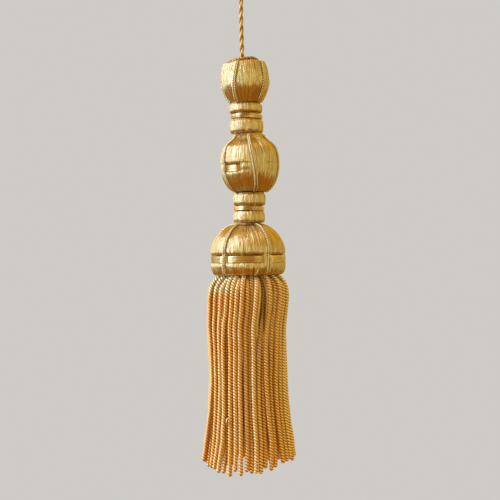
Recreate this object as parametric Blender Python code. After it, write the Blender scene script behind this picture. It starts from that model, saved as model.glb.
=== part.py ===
"""Curtain tieback tassel as it hangs: cord with a hanging loop, covered turned moulds, bullion skirt.

Metres, +Z up. The origin is the inside of the hanging loop's top, where a hook carries the tassel.
A drop is a distance below STACK_TOP_Z, the height of the first mould's top. An azimuth of 0 faces -Y.
"""

import math
from collections import namedtuple

import bmesh
import bpy
from mathutils import Vector

MM = 0.001
GAP = 0.3 * MM  # kept between pieces that touch on the real tassel

# Hanging cord and its loop
CORD_RADIUS = 1.55 * MM
CORD_STEP = 4 * CORD_RADIUS  # distance between the points of a cord's tube
CORD_ROUND_SIDES = 2  # bevel resolution: an eight-sided tube
ROUTE_SAMPLES = 40  # fine samples between two route points
KNOT_TOP_Z = -27.6 * MM
KNOT_BOTTOM_Z = -36.0 * MM
KNOT_RADIUS = 4.5 * MM
KNOT_ROUNDING = 1.1 * MM
LOOP_BEND_RADIUS = 6.8 * MM
LOOP_LEG_SPREAD = 1.7 * MM

# Stack of moulds
STACK_TOP_Z = -79.8 * MM
MOULD_SIDES = 24
SMALL_STEPS = 2  # outline steps from the edge of a collar or a tie to its widest place
BALL_STEPS = 6
BULB_STEPS = 6
TAPER_STEPS = 4
DOME_STEPS = 7
ROLL_STEPS = 4
TOP_RING_SIDES = 6
SMOOTH_ANGLE = math.radians(35)

# Bulb: the turned mould under the cord
BULB_WIDEST_DROP = 16.5 * MM
BULB_SHOULDER = 11.0 * MM
BULB_BOTTOM_RADIUS = 10.2 * MM
BULB_FOOT_RISE = 0.7 * MM
BULB_FOOT_RADIUS = 4.0 * MM
CORD_HOLE_RADIUS = 4.6 * MM
CORD_HOLE_DEPTH = 3.0 * MM
TOP_RING_RADIUS = 9.2 * MM
TOP_RING_THICKNESS = 2.8 * MM

# Dome: the turned mould over the skirt
DOME_WIDEST_DROP = 128.0 * MM
DOME_ROLL_DROP = 135.5 * MM
DOME_NECK = 5.0 * MM
DOME_RIM = 21.8 * MM
RECESS_RADIUS = 20.7 * MM
RECESS_DEPTH = 6.0 * MM

# Gimp: two fine twisted cords laid side by side over a mould, top to bottom
GIMP_WIDTH = 2.9 * MM
GIMP_THICKNESS = 1.3 * MM
GIMP_PER_MOULD = 5

# Bullion skirt
HEADER_THICKNESS = 5.2 * MM
TOOTH_FILL = 0.84  # share of its pitch that a tooth takes up
TOOTH_END_TAPER = 0.55

Piece = namedtuple("Piece", "name top bottom radius edge shift tilt_deg")
BULB = Piece("bulb_mould", 0.8 * MM, 30.1 * MM, 16.1 * MM, BULB_SHOULDER, 1.9 * MM, -2.5)
BALL = Piece("ball_mould", 50.6 * MM, 89.1 * MM, 19.3 * MM, 8.0 * MM, 2.9 * MM, 0.0)
DOME = Piece("dome_mould", 109.2 * MM, 143.1 * MM, 24.9 * MM, DOME_NECK, 1.1 * MM, 0.0)
COLLARS = (
    Piece("upper_collar_a", 30.6 * MM, 37.1 * MM, 11.1 * MM, 9.4 * MM, 1.3 * MM, 0.0),
    Piece("upper_collar_b", 41.3 * MM, 50.3 * MM, 11.3 * MM, 9.6 * MM, 1.6 * MM, 0.0),
    Piece("lower_collar_a", 89.4 * MM, 97.6 * MM, 10.9 * MM, 9.4 * MM, 2.7 * MM, 0.0),
    Piece("lower_collar_b", 101.6 * MM, 108.9 * MM, 10.7 * MM, 9.3 * MM, 2.2 * MM, 0.0),
)
TIES = (
    Piece("upper_tie", 37.4 * MM, 41.0 * MM, 10.3 * MM, 9.3 * MM, 1.8 * MM, 0.0),
    Piece("lower_tie", 97.9 * MM, 101.3 * MM, 10.0 * MM, 9.1 * MM, 2.4 * MM, 0.0),
)

# A belt of floss wound in a groove around a mould. The groove is GAP larger all round.
Belt = namedtuple("Belt", "name top bottom outer inner")
BALL_BELT = Belt("ball_belt", 71.7 * MM, 76.4 * MM, 18.5 * MM, 17.1 * MM)
DOME_BELT = Belt("dome_belt", 129.9 * MM, 134.6 * MM, 24.5 * MM, 23.3 * MM)

# Gimp runs: first azimuth at the mould's middle, from run to run, turn from top to bottom, drops.
Gimp = namedtuple("Gimp", "name first_azimuth_deg step_deg turn_deg top bottom")
BULB_GIMP = Gimp("bulb_gimp", -23.0, 69.0, 3.0, 2.6 * MM, 29.0 * MM)
BALL_GIMP = Gimp("ball_gimp", -62.0, 72.0, 14.0, 51.6 * MM, 88.0 * MM)
DOME_GIMP = Gimp("dome_gimp", -38.0, 72.0, -4.0, 110.4 * MM, 142.0 * MM)

# Skirt sections: drop, outer radius of the outer row, sideways drift of the skirt's middle.
Section = namedtuple("Section", "drop radius drift")
SKIRT_SECTIONS = (
    Section(141.0 * MM, 19.9 * MM, 1.1 * MM),
    Section(143.6 * MM, 20.1 * MM, 1.1 * MM),
    Section(146.4 * MM, 23.2 * MM, 1.0 * MM),
    Section(151.0 * MM, 25.6 * MM, 0.9 * MM),
    Section(158.0 * MM, 26.6 * MM, 0.7 * MM),
    Section(176.0 * MM, 25.8 * MM, -0.7 * MM),
    Section(210.0 * MM, 25.2 * MM, 0.1 * MM),
    Section(241.0 * MM, 27.8 * MM, 0.1 * MM),
    Section(254.0 * MM, 30.2 * MM, 0.1 * MM),
    Section(266.0 * MM, 31.0 * MM, -0.2 * MM),
)
# Rows of teeth: how many, and their outer and inner faces as shares of the skirt's radius.
Row = namedtuple("Row", "teeth outer inner")
SKIRT_ROWS = (Row(24, 1.0, 0.80), Row(15, 0.76, 0.54), Row(7, 0.47, 0.14))
END_STAGGER = tuple(step * MM for step in (0.0, 2.5, -1.5, 3.5, 1.0, -2.5, 2.0))

Finish = namedtuple("Finish", "colour roughness metallic")
FLOSS = Finish((0.60, 0.37, 0.08), 0.34, 0.55)
WOUND_FLOSS = Finish((0.66, 0.44, 0.13), 0.30, 0.55)
GIMP_CORD = Finish((0.70, 0.50, 0.20), 0.40, 0.50)
TWISTED_CORD = Finish((0.62, 0.33, 0.05), 0.42, 0.45)
BULLION = Finish((0.55, 0.29, 0.04), 0.45, 0.45)


def clear_scene():
    """Take every object out of the open scene."""
    for obj in list(bpy.data.objects):
        bpy.data.objects.remove(obj, do_unlink=True)


def add_object(name, data, parent, finish):
    """Put mesh or curve data in the scene as one named object with its own material."""
    obj = bpy.data.objects.new(name, data)
    bpy.context.scene.collection.objects.link(obj)
    obj.parent = parent
    material = bpy.data.materials.new(name + "_finish")
    material.use_nodes = True
    shader = material.node_tree.nodes["Principled BSDF"]
    shader.inputs["Base Color"].default_value = (*finish.colour, 1.0)
    shader.inputs["Roughness"].default_value = finish.roughness
    shader.inputs["Metallic"].default_value = finish.metallic
    data.materials.append(material)
    return obj


def smooth_mesh(name, bm):
    """Close a bmesh into a mesh with outward faces, shaded smooth but for its real edges."""
    bmesh.ops.recalc_face_normals(bm, faces=bm.faces)
    mesh = bpy.data.meshes.new(name)
    bm.to_mesh(mesh)
    bm.free()
    mesh.shade_smooth()
    mesh.set_sharp_from_angle(angle=SMOOTH_ANGLE)
    return mesh


def turned_mesh(name, profile, closed=False):
    """Turn a profile of (radius, height) points about Z. A closed profile makes a ring."""
    bm = bmesh.new()
    verts = [bm.verts.new((radius, 0.0, height)) for radius, height in profile]
    edges = [bm.edges.new(pair) for pair in zip(verts, verts[1:])]
    if closed:
        edges.append(bm.edges.new((verts[-1], verts[0])))
    bmesh.ops.spin(
        bm,
        geom=verts + edges,
        axis=(0.0, 0.0, 1.0),
        cent=(0.0, 0.0, 0.0),
        angle=2 * math.pi,
        steps=MOULD_SIDES,
        use_merge=True,
    )
    bmesh.ops.remove_doubles(bm, verts=bm.verts, dist=0.001 * MM)
    return smooth_mesh(name, bm)


def loft(bm, sections):
    """Skin a closed tube through equal rings of points, with both ends filled."""
    rings = [[bm.verts.new(point) for point in ring] for ring in sections]
    for above, below in zip(rings, rings[1:]):
        for i, vert in enumerate(above):
            j = (i + 1) % len(above)
            bm.faces.new((vert, above[j], below[j], below[i]))
    bm.faces.new(list(reversed(rings[0])))
    bm.faces.new(rings[-1])


def outward(azimuth):
    """Unit vector from the axis towards an azimuth."""
    return Vector((math.sin(azimuth), -math.cos(azimuth), 0.0))


def sideways(azimuth):
    """Unit vector across an azimuth, level."""
    return Vector((math.cos(azimuth), math.sin(azimuth), 0.0))


def rounding_drops(edge, widest, steps):
    """Drops from a form's edge to its widest place, closest together at the edge."""
    quarter = math.pi / 2 / steps
    return [edge + (widest - edge) * (1 - math.cos(quarter * i)) for i in range(steps + 1)]


def barrel_drops(piece, steps):
    """Drops from the top of a ball, a collar or a tie to its bottom."""
    middle = (piece.top + piece.bottom) / 2
    upper = rounding_drops(piece.top, middle, steps)
    lower = rounding_drops(piece.bottom, middle, steps)
    return upper + lower[-2::-1]


def swell(drop, middle, half, radius, edge):
    """Radius of a form that swells from edge to radius at its middle, as an ellipse."""
    off = min(1.0, abs(drop - middle) / half)
    return edge + (radius - edge) * math.sqrt(1.0 - off * off)


def barrel_radius(piece, drop):
    """Radius of a ball, a collar or a tie at one drop."""
    middle, half = (piece.top + piece.bottom) / 2, (piece.bottom - piece.top) / 2
    return swell(drop, middle, half, piece.radius, piece.edge)


def bulb_radius(drop):
    """Radius of the bulb: round shoulders, then a long taper to its foot."""
    if drop < BULB_WIDEST_DROP:
        half = BULB_WIDEST_DROP - BULB.top
        return swell(drop, BULB_WIDEST_DROP, half, BULB.radius, BULB.edge)
    share = (drop - BULB_WIDEST_DROP) / (BULB.bottom - BULB_WIDEST_DROP)
    taper = math.cos(share * math.pi / 2)
    return BULB_BOTTOM_RADIUS + (BULB.radius - BULB_BOTTOM_RADIUS) * taper


def dome_radius(drop):
    """Radius of the dome: half-round top, straight wall, rolled-in rim."""
    if drop < DOME_WIDEST_DROP:
        half = DOME_WIDEST_DROP - DOME.top
        return swell(drop, DOME_WIDEST_DROP, half, DOME.radius, DOME.edge)
    if drop < DOME_ROLL_DROP:
        return DOME.radius
    return swell(drop, DOME_ROLL_DROP, DOME.bottom - DOME_ROLL_DROP, DOME.radius, DOME_RIM)


def ball_radius(drop):
    """Radius of the ball at one drop, as if it had no groove."""
    return barrel_radius(BALL, drop)


def outline(radius_at, drops):
    """Profile points (radius, drop) of a form at the given drops."""
    return [(radius_at(drop), drop) for drop in drops]


def grooved(radius_at, drops, belt):
    """Profile points of a form with a groove that holds a belt and its gap."""
    top, bottom = belt.top - GAP, belt.bottom + GAP
    floor = belt.inner - GAP
    above = outline(radius_at, [drop for drop in drops if drop < top] + [top])
    below = outline(radius_at, [bottom] + [drop for drop in drops if drop > bottom])
    return above + [(floor, top), (floor, bottom)] + below


def hang(piece, profile, parent, finish):
    """Add a turned piece whose origin is its own foot, on the cord's line."""
    points = [(radius, piece.bottom - drop) for radius, drop in profile]
    obj = add_object(piece.name, turned_mesh(piece.name, points), parent, finish)
    obj.location = (piece.shift, 0.0, STACK_TOP_Z - piece.bottom)
    obj.rotation_euler = (0.0, math.radians(piece.tilt_deg), 0.0)
    return obj


def bulb_drops():
    """Drops at which the bulb's outline has points, its raised foot left out."""
    upper = rounding_drops(BULB.top, BULB_WIDEST_DROP, BULB_STEPS)
    step = (BULB.bottom - BULB_FOOT_RISE - BULB_WIDEST_DROP) / TAPER_STEPS
    return upper + [BULB_WIDEST_DROP + i * step for i in range(1, TAPER_STEPS + 1)]


def dome_drops():
    """Drops at which the dome's outline has points."""
    upper = rounding_drops(DOME.top, DOME_WIDEST_DROP, DOME_STEPS)
    return upper + rounding_drops(DOME.bottom, DOME_ROLL_DROP, ROLL_STEPS)[::-1]


def make_bulb(parent):
    """Covered bulb mould with the hole that its cord comes out of, and the cord ring on top."""
    hole_floor = BULB.top + CORD_HOLE_DEPTH
    profile = [(0.0, hole_floor), (CORD_HOLE_RADIUS, hole_floor), (CORD_HOLE_RADIUS, BULB.top)]
    profile += outline(bulb_radius, bulb_drops())
    profile += [(BULB_FOOT_RADIUS, BULB.bottom), (0.0, BULB.bottom)]
    bulb = hang(BULB, profile, parent, FLOSS)

    half = TOP_RING_THICKNESS / 2
    ring_height = BULB.bottom - BULB.top + GAP + half
    angles = [2 * math.pi * i / TOP_RING_SIDES for i in range(TOP_RING_SIDES)]
    circle = [(TOP_RING_RADIUS + half * math.cos(a), ring_height + half * math.sin(a)) for a in angles]
    add_object("top_cord_ring", turned_mesh("top_cord_ring", circle, closed=True), bulb, TWISTED_CORD)
    return bulb


def make_ball(parent):
    """Covered ball mould, grooved for its belt."""
    body = grooved(ball_radius, barrel_drops(BALL, BALL_STEPS), BALL_BELT)
    return hang(BALL, [(0.0, BALL.top)] + body + [(0.0, BALL.bottom)], parent, FLOSS)


def make_dome(parent):
    """Covered dome mould, grooved for its belt and recessed under its rim for the skirt."""
    ceiling = DOME.bottom - RECESS_DEPTH
    profile = [(0.0, DOME.top)] + grooved(dome_radius, dome_drops(), DOME_BELT)
    profile += [(RECESS_RADIUS, DOME.bottom), (RECESS_RADIUS, ceiling), (0.0, ceiling)]
    return hang(DOME, profile, parent, FLOSS)


def make_barrel(piece, parent, finish):
    """Collar or tie: a short turned barrel around the cord."""
    body = outline(lambda drop: barrel_radius(piece, drop), barrel_drops(piece, SMALL_STEPS))
    return hang(piece, [(0.0, piece.top)] + body + [(0.0, piece.bottom)], parent, finish)


def make_belt(belt, piece, mould):
    """Ring of floss in the groove of its mould."""
    top, bottom = piece.bottom - belt.top, piece.bottom - belt.bottom
    section = [(belt.outer, top), (belt.outer, bottom), (belt.inner, bottom), (belt.inner, top)]
    return add_object(belt.name, turned_mesh(belt.name, section, closed=True), mould, WOUND_FLOSS)


def gimp_sections(gimp, piece, radius_at, drops, azimuth):
    """Four-cornered sections of a gimp run, GAP off the mould and square to its outline."""
    middle, length = (gimp.top + gimp.bottom) / 2, gimp.bottom - gimp.top
    kept = [gimp.top] + [drop for drop in drops if gimp.top < drop < gimp.bottom] + [gimp.bottom]
    points = [Vector((radius_at(drop), piece.bottom - drop)) for drop in kept]
    sections = []
    for i, (drop, point) in enumerate(zip(kept, points)):
        along = points[min(i + 1, len(points) - 1)] - points[max(i - 1, 0)]
        normal = Vector((-along.y, along.x)).normalized()
        turned = azimuth + math.radians(gimp.turn_deg) * (drop - middle) / length
        ring = []
        for lift, side in ((GAP, -1), (GAP, 1), (GAP + GIMP_THICKNESS, 1), (GAP + GIMP_THICKNESS, -1)):
            spot = point + lift * normal
            across = side * GIMP_WIDTH / 2 * sideways(turned)
            ring.append(spot.x * outward(turned) + across + Vector((0.0, 0.0, spot.y)))
        sections.append(ring)
    return sections


def make_gimp(gimp, piece, radius_at, drops, mould):
    """Gimp runs spaced round a mould, each an object of its own."""
    for run in range(GIMP_PER_MOULD):
        azimuth = math.radians(gimp.first_azimuth_deg + gimp.step_deg * run)
        bm = bmesh.new()
        loft(bm, gimp_sections(gimp, piece, radius_at, drops, azimuth))
        name = f"{gimp.name}_{run + 1}"
        add_object(name, smooth_mesh(name, bm), mould, GIMP_CORD)


def tooth_sections(row, azimuth, stagger):
    """Wedge-shaped sections of one tooth of the skirt, from inside the header to its end."""
    spread = TOOTH_FILL * math.tan(math.pi / row.teeth)
    sections = []
    for section in SKIRT_SECTIONS:
        last = section is SKIRT_SECTIONS[-1]
        drop = section.drop + (stagger if last else 0.0)
        axis = Vector((section.drift, 0.0, STACK_TOP_Z - drop))
        middle = axis + (row.inner + row.outer) / 2 * section.radius * outward(azimuth)
        ring = []
        for share, side in ((row.inner, -1), (row.inner, 1), (row.outer, 1), (row.outer, -1)):
            reach = share * section.radius
            corner = axis + reach * outward(azimuth) + side * spread * reach * sideways(azimuth)
            ring.append(middle.lerp(corner, TOOTH_END_TAPER if last else 1.0))
        sections.append(ring)
    return sections


def make_skirt(parent):
    """Bullion skirt: a rolled header with teeth hanging from it, one comb."""
    teeth = bmesh.new()
    count = 0
    for row in SKIRT_ROWS:
        for tooth in range(row.teeth):
            stagger = END_STAGGER[count % len(END_STAGGER)]
            loft(teeth, tooth_sections(row, 2 * math.pi * tooth / row.teeth, stagger))
            count += 1
    guide = add_object("skirt_teeth", smooth_mesh("skirt_teeth", teeth), parent, BULLION)
    guide.hide_render = True
    guide.display_type = "WIRE"

    top = STACK_TOP_Z - DOME.bottom + RECESS_DEPTH - GAP
    radius = RECESS_RADIUS - GAP
    bottom = top - HEADER_THICKNESS
    profile = [(0.0, top), (radius, top), (radius, bottom), (0.0, bottom)]
    header = add_object("bullion_skirt", turned_mesh("bullion_skirt", profile), parent, BULLION)
    for vert in header.data.vertices:
        vert.co.x += DOME.shift
    union = header.modifiers.new("teeth", "BOOLEAN")
    union.operation = "UNION"
    union.object = guide
    return header


def smooth_route(points, step):
    """Points about a step apart on a smooth curve through the route's own points."""
    ends = [2 * points[0] - points[1]] + points + [2 * points[-1] - points[-2]]
    fine = []
    for a, b, c, d in zip(ends, ends[1:], ends[2:], ends[3:]):
        for i in range(ROUTE_SAMPLES):
            t = i / ROUTE_SAMPLES
            bend = (2 * a - 5 * b + 4 * c - d) * t * t + (3 * b - a - 3 * c + d) * t * t * t
            fine.append(b + 0.5 * ((c - a) * t + bend))
    fine.append(points[-1])
    lengths = [0.0]
    for before, after in zip(fine, fine[1:]):
        lengths.append(lengths[-1] + (after - before).length)
    count = max(2, round(lengths[-1] / step))
    kept = []
    for i in range(count + 1):
        goal = lengths[-1] * i / count
        kept.append(fine[min(range(len(fine)), key=lambda k: abs(lengths[k] - goal))])
    return kept


def make_cord(name, route, parent):
    """Round tube along a route, with both ends closed."""
    curve = bpy.data.curves.new(name, "CURVE")
    curve.dimensions = "3D"
    curve.bevel_depth = CORD_RADIUS
    curve.bevel_resolution = CORD_ROUND_SIDES
    curve.use_fill_caps = True
    points = smooth_route(route, CORD_STEP)
    spline = curve.splines.new("POLY")
    spline.points.add(len(points) - 1)
    for spot, point in zip(spline.points, points):
        spot.co = (*point, 1.0)
    return add_object(name, curve, parent, TWISTED_CORD)


def stem_route():
    """Route of the cord from the bulb's hole up to the knot."""
    hole_end = STACK_TOP_Z - BULB.top - CORD_HOLE_DEPTH + 2 * GAP
    return [
        Vector((-0.5 * MM, 0.0, hole_end)),
        Vector((-0.6 * MM, 0.0, -74.0 * MM)),
        Vector((-0.7 * MM, 0.0, -62.0 * MM)),
        Vector((-0.8 * MM, 0.1 * MM, -50.0 * MM)),
        Vector((-0.5 * MM, 0.1 * MM, -41.0 * MM)),
        Vector((-0.4 * MM, 0.0, KNOT_BOTTOM_Z - GAP)),
    ]


def loop_route():
    """Route of the hanging loop: out of the knot, round the top and back into the knot."""
    top_z = CORD_RADIUS
    centre_z = top_z - LOOP_BEND_RADIUS
    leg = (
        Vector((LOOP_LEG_SPREAD, 0.0, KNOT_TOP_Z + 2 * GAP)),
        Vector((1.8 * MM, 0.1 * MM, -24.5 * MM)),
        Vector((3.7 * MM, 0.3 * MM, -18.0 * MM)),
        Vector((6.0 * MM, 0.3 * MM, -11.5 * MM)),
    )
    bend = [
        Vector((
            LOOP_BEND_RADIUS * math.cos(math.radians(angle)),
            0.0,
            centre_z + LOOP_BEND_RADIUS * math.sin(math.radians(angle)),
        ))
        for angle in range(0, 181, 30)
    ]
    other_leg = [Vector((-point.x, -point.y, point.z)) for point in reversed(leg)]
    return [*leg, *bend, *other_leg]


def make_knot(parent):
    """Barrel knot that closes the loop."""
    inset = KNOT_RADIUS - KNOT_ROUNDING
    profile = [
        (0.0, KNOT_TOP_Z),
        (inset, KNOT_TOP_Z),
        (KNOT_RADIUS, KNOT_TOP_Z - KNOT_ROUNDING),
        (KNOT_RADIUS, KNOT_BOTTOM_Z + KNOT_ROUNDING),
        (inset, KNOT_BOTTOM_Z),
        (0.0, KNOT_BOTTOM_Z),
    ]
    return add_object("loop_knot", turned_mesh("loop_knot", profile), parent, TWISTED_CORD)


def build():
    """Make the tassel under one empty at its hanging point."""
    clear_scene()
    tassel = bpy.data.objects.new("tassel", None)
    bpy.context.scene.collection.objects.link(tassel)

    make_cord("hanging_loop", loop_route(), tassel)
    make_knot(tassel)
    make_cord("hanging_cord", stem_route(), tassel)

    bulb = make_bulb(tassel)
    ball = make_ball(tassel)
    dome = make_dome(tassel)
    for collar in COLLARS:
        make_barrel(collar, tassel, FLOSS)
    for tie in TIES:
        make_barrel(tie, tassel, WOUND_FLOSS)
    make_belt(BALL_BELT, BALL, ball)
    make_belt(DOME_BELT, DOME, dome)

    make_gimp(BULB_GIMP, BULB, bulb_radius, bulb_drops(), bulb)
    make_gimp(BALL_GIMP, BALL, ball_radius, barrel_drops(BALL, BALL_STEPS), ball)
    make_gimp(DOME_GIMP, DOME, dome_radius, dome_drops(), dome)
    make_skirt(tassel)


build()
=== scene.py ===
"""Curtain tieback tassel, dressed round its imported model.

Metres, +Z up. The origin is the inside of the hanging loop's top, where a hook carries the tassel.
A drop is a distance below STACK_TOP_Z, the top of the first mould. An azimuth of 0 faces -Y, where
the camera stands, and a positive one is to the camera's right.
"""

import logging
import math
from collections.abc import Callable
from dataclasses import dataclass, field, fields, replace
from enum import Enum
from functools import cache

import bpy
import numpy as np
from mathutils import Matrix, Vector


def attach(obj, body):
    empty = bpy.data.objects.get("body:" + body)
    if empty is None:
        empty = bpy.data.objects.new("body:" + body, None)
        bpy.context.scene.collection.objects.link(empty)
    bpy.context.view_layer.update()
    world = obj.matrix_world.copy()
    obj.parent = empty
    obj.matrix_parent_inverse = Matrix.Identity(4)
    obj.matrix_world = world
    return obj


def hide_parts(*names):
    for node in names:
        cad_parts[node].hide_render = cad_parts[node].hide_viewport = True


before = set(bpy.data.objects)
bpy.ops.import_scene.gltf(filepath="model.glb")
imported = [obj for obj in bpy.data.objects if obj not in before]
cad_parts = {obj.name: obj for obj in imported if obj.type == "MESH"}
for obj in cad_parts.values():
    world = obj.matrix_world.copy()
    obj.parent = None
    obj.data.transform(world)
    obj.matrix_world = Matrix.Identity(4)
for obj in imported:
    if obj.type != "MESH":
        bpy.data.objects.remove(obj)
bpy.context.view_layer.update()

MM = 0.001
GAP = 0.3 * MM  # play between pieces that nearly touch
STACK_TOP_Z = -79.8 * MM
BODY = "root"
TURN = 2 * math.pi

Colour = tuple[float, float, float]
Outline = list[tuple[float, float, float]]  # radius, drop, and 1 where floss covers the form
Arcs = tuple[tuple[float, float], ...]  # first and last azimuth of each, in degrees

log = logging.getLogger("tassel")


class Slot(Enum):
    """Material slots of the record."""

    FLOSS = "floss"
    WOUND_FLOSS = "wound_floss"
    GIMP = "gimp"
    TWISTED_CORD = "twisted_cord"
    BULLION = "bullion"


class Hand(Enum):
    """Way in which a cord's plies are laid, as the sign of its turn along the cord."""

    S = -1.0
    Z = 1.0


# --- node trees

SOCKETS = {
    float: "NodeSocketFloat",
    int: "NodeSocketInt",
    tuple: "NodeSocketColor",
    bpy.types.Mesh: "NodeSocketGeometry",
    bpy.types.Material: "NodeSocketMaterial",
}


@dataclass(frozen=True)
class Flow:
    """A value on its way through a node tree. Arithmetic on it adds the nodes that do it.

    Attributes:
        wiring: the wiring of its tree.
        socket: the output that it comes from.
    """

    wiring: "Wiring"
    socket: bpy.types.NodeSocket

    def __add__(self, other: object) -> "Flow":
        """Sum."""
        return self.wiring.math("ADD", self, other)

    def __mul__(self, other: object) -> "Flow":
        """Product."""
        return self.wiring.math("MULTIPLY", self, other)

    def __sub__(self, other: object) -> "Flow":
        """Difference."""
        return self.wiring.math("SUBTRACT", self, other)

    def __rsub__(self, other: object) -> "Flow":
        """Difference from a plain number."""
        return self.wiring.math("SUBTRACT", other, self)

    def __truediv__(self, other: object) -> "Flow":
        """Quotient."""
        return self.wiring.math("DIVIDE", self, other)


@dataclass(frozen=True)
class Wiring:
    """Places the nodes of one tree and joins them.

    Attributes:
        tree: the node tree that is being wired.
    """

    tree: bpy.types.NodeTree

    def feed(self, node: bpy.types.Node, sources: dict) -> None:
        """Join a node's inputs, by name or number, to flows, or give them plain values."""
        for name, value in sources.items():
            if isinstance(value, Flow):
                self.tree.links.new(value.socket, node.inputs[name])
            else:
                node.inputs[name].default_value = value

    def place(self, kind: str, sources: dict | None = None, **settings: object) -> bpy.types.Node:
        """Add a node of a kind with its settings, and feed its inputs.

        Args:
            kind: the node's type.
            sources: what each input gets, by its name or number.
            settings: the node's properties.

        Returns:
            The node.
        """
        node = self.tree.nodes.new(kind)
        for name, value in settings.items():
            setattr(node, name, value)
        self.feed(node, sources or {})
        return node

    def flow(self, kind: str, sources: dict | None = None, out: int | str = 0, **settings: object) -> Flow:
        """Add a node and follow one of its outputs."""
        return Flow(self, self.place(kind, sources, **settings).outputs[out])

    def math(self, operation: str, *terms: object) -> Flow:
        """Result of one arithmetic step on its terms."""
        return self.flow("ShaderNodeMath", dict(enumerate(terms)), operation=operation)

    def vector(self, operation: str, sources: dict, out: int | str = 0) -> Flow:
        """Result of one step of vector arithmetic."""
        return self.flow("ShaderNodeVectorMath", sources, out, operation=operation)

    def rescale(
        self, value: Flow, low: float, high: float, new_low: object = 0.0, new_high: object = 1.0
    ) -> Flow:
        """Value moved from the range low..high to new_low..new_high, and held inside it."""
        return self.flow("ShaderNodeMapRange", {0: value, 1: low, 2: high, 3: new_low, 4: new_high})

    def noise(self, spot: Flow, seed: object) -> Flow:
        """Smooth noise at a spot."""
        sources = {"Vector": spot, "W": seed, "Scale": 1.0, "Detail": 1.0}
        return self.flow("ShaderNodeTexNoise", sources, noise_dimensions="4D")

    def ring_noise(self, around: Flow, along: Flow, lumps: Flow, stretch: Flow, seed: Flow) -> Flow:
        """Noise without a seam on a surface that closes on itself.

        Args:
            around: place across the threads, in turns.
            along: place along the threads.
            lumps: how many lumps of noise there are in a turn.
            stretch: lumps of noise in a unit of along.
            seed: which noise.

        Returns:
            A flow from 0 to 1.
        """
        angle, reach = around * TURN, lumps / TURN
        east, north = self.math("COSINE", angle) * reach, self.math("SINE", angle) * reach
        spot = self.flow("ShaderNodeCombineXYZ", {0: east, 1: north, 2: along * stretch})
        return self.rescale(self.noise(spot, seed), 0.25, 0.75)

    def blend(self, share: Flow, first: object, second: object) -> Flow:
        """Colour between first and second."""
        return self.flow("ShaderNodeMix", {0: share, 6: first, 7: second}, 2, data_type="RGBA")

    def attribute(self, name: str) -> Flow:
        """Number that the tree's geometry carries under a name."""
        return self.flow("GeometryNodeInputNamedAttribute", {"Name": name}, data_type="FLOAT")

    def store(self, shape: Flow, name: str, value: Flow) -> Flow:
        """Geometry with a number stored on its points."""
        sources = {"Geometry": shape, "Name": name, "Value": value}
        return self.flow("GeometryNodeStoreNamedAttribute", sources, data_type="FLOAT")


def open_tree(name: str, kind: str, inlets: dict, outlets: dict) -> tuple[Wiring, dict, bpy.types.Node]:
    """Start a node tree or a node group.

    Args:
        name: the tree's name.
        kind: the tree's type name.
        inlets: input name to its value when nothing feeds it, or to its type.
        outlets: output name to its type.

    Returns:
        The wiring, the inputs' flows by name, and the node that takes the outputs.
    """
    tree = bpy.data.node_groups.new(name, kind)
    for way, ends in (("INPUT", inlets), ("OUTPUT", outlets)):
        for label, value in ends.items():
            sort = value if isinstance(value, type) else type(value)
            socket = tree.interface.new_socket(name=label, in_out=way, socket_type=SOCKETS[sort])
            if value is not sort:
                socket.default_value = value
    wiring = Wiring(tree)
    entry = wiring.place("NodeGroupInput")
    given = {label: Flow(wiring, entry.outputs[label]) for label in inlets}
    return wiring, given, wiring.place("NodeGroupOutput")


def open_shape_tree(name: str, sizes: dict) -> tuple[Wiring, dict, bpy.types.Node]:
    """Start a geometry tree that is given a shape, sizes with their usual values, and a finish."""
    inlets = {"Shape": bpy.types.Mesh, **sizes, "Finish": bpy.types.Material}
    return open_tree(name, "GeometryNodeTree", inlets, {"Shape": bpy.types.Mesh})


def close_shape_tree(wiring: Wiring, shape: Flow, finish: Flow, exit_node: bpy.types.Node) -> None:
    """End a geometry tree: smooth shading, real geometry, one material.

    Args:
        wiring: the tree.
        shape: the surface.
        finish: its material.
        exit_node: the tree's output.
    """
    for step in ("SetShadeSmooth", "RealizeInstances"):
        shape = wiring.flow(f"GeometryNode{step}", {"Geometry": shape})
    dressed = wiring.flow("GeometryNodeSetMaterial", {"Geometry": shape, "Material": finish})
    wiring.feed(exit_node, {"Shape": dressed})


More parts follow.
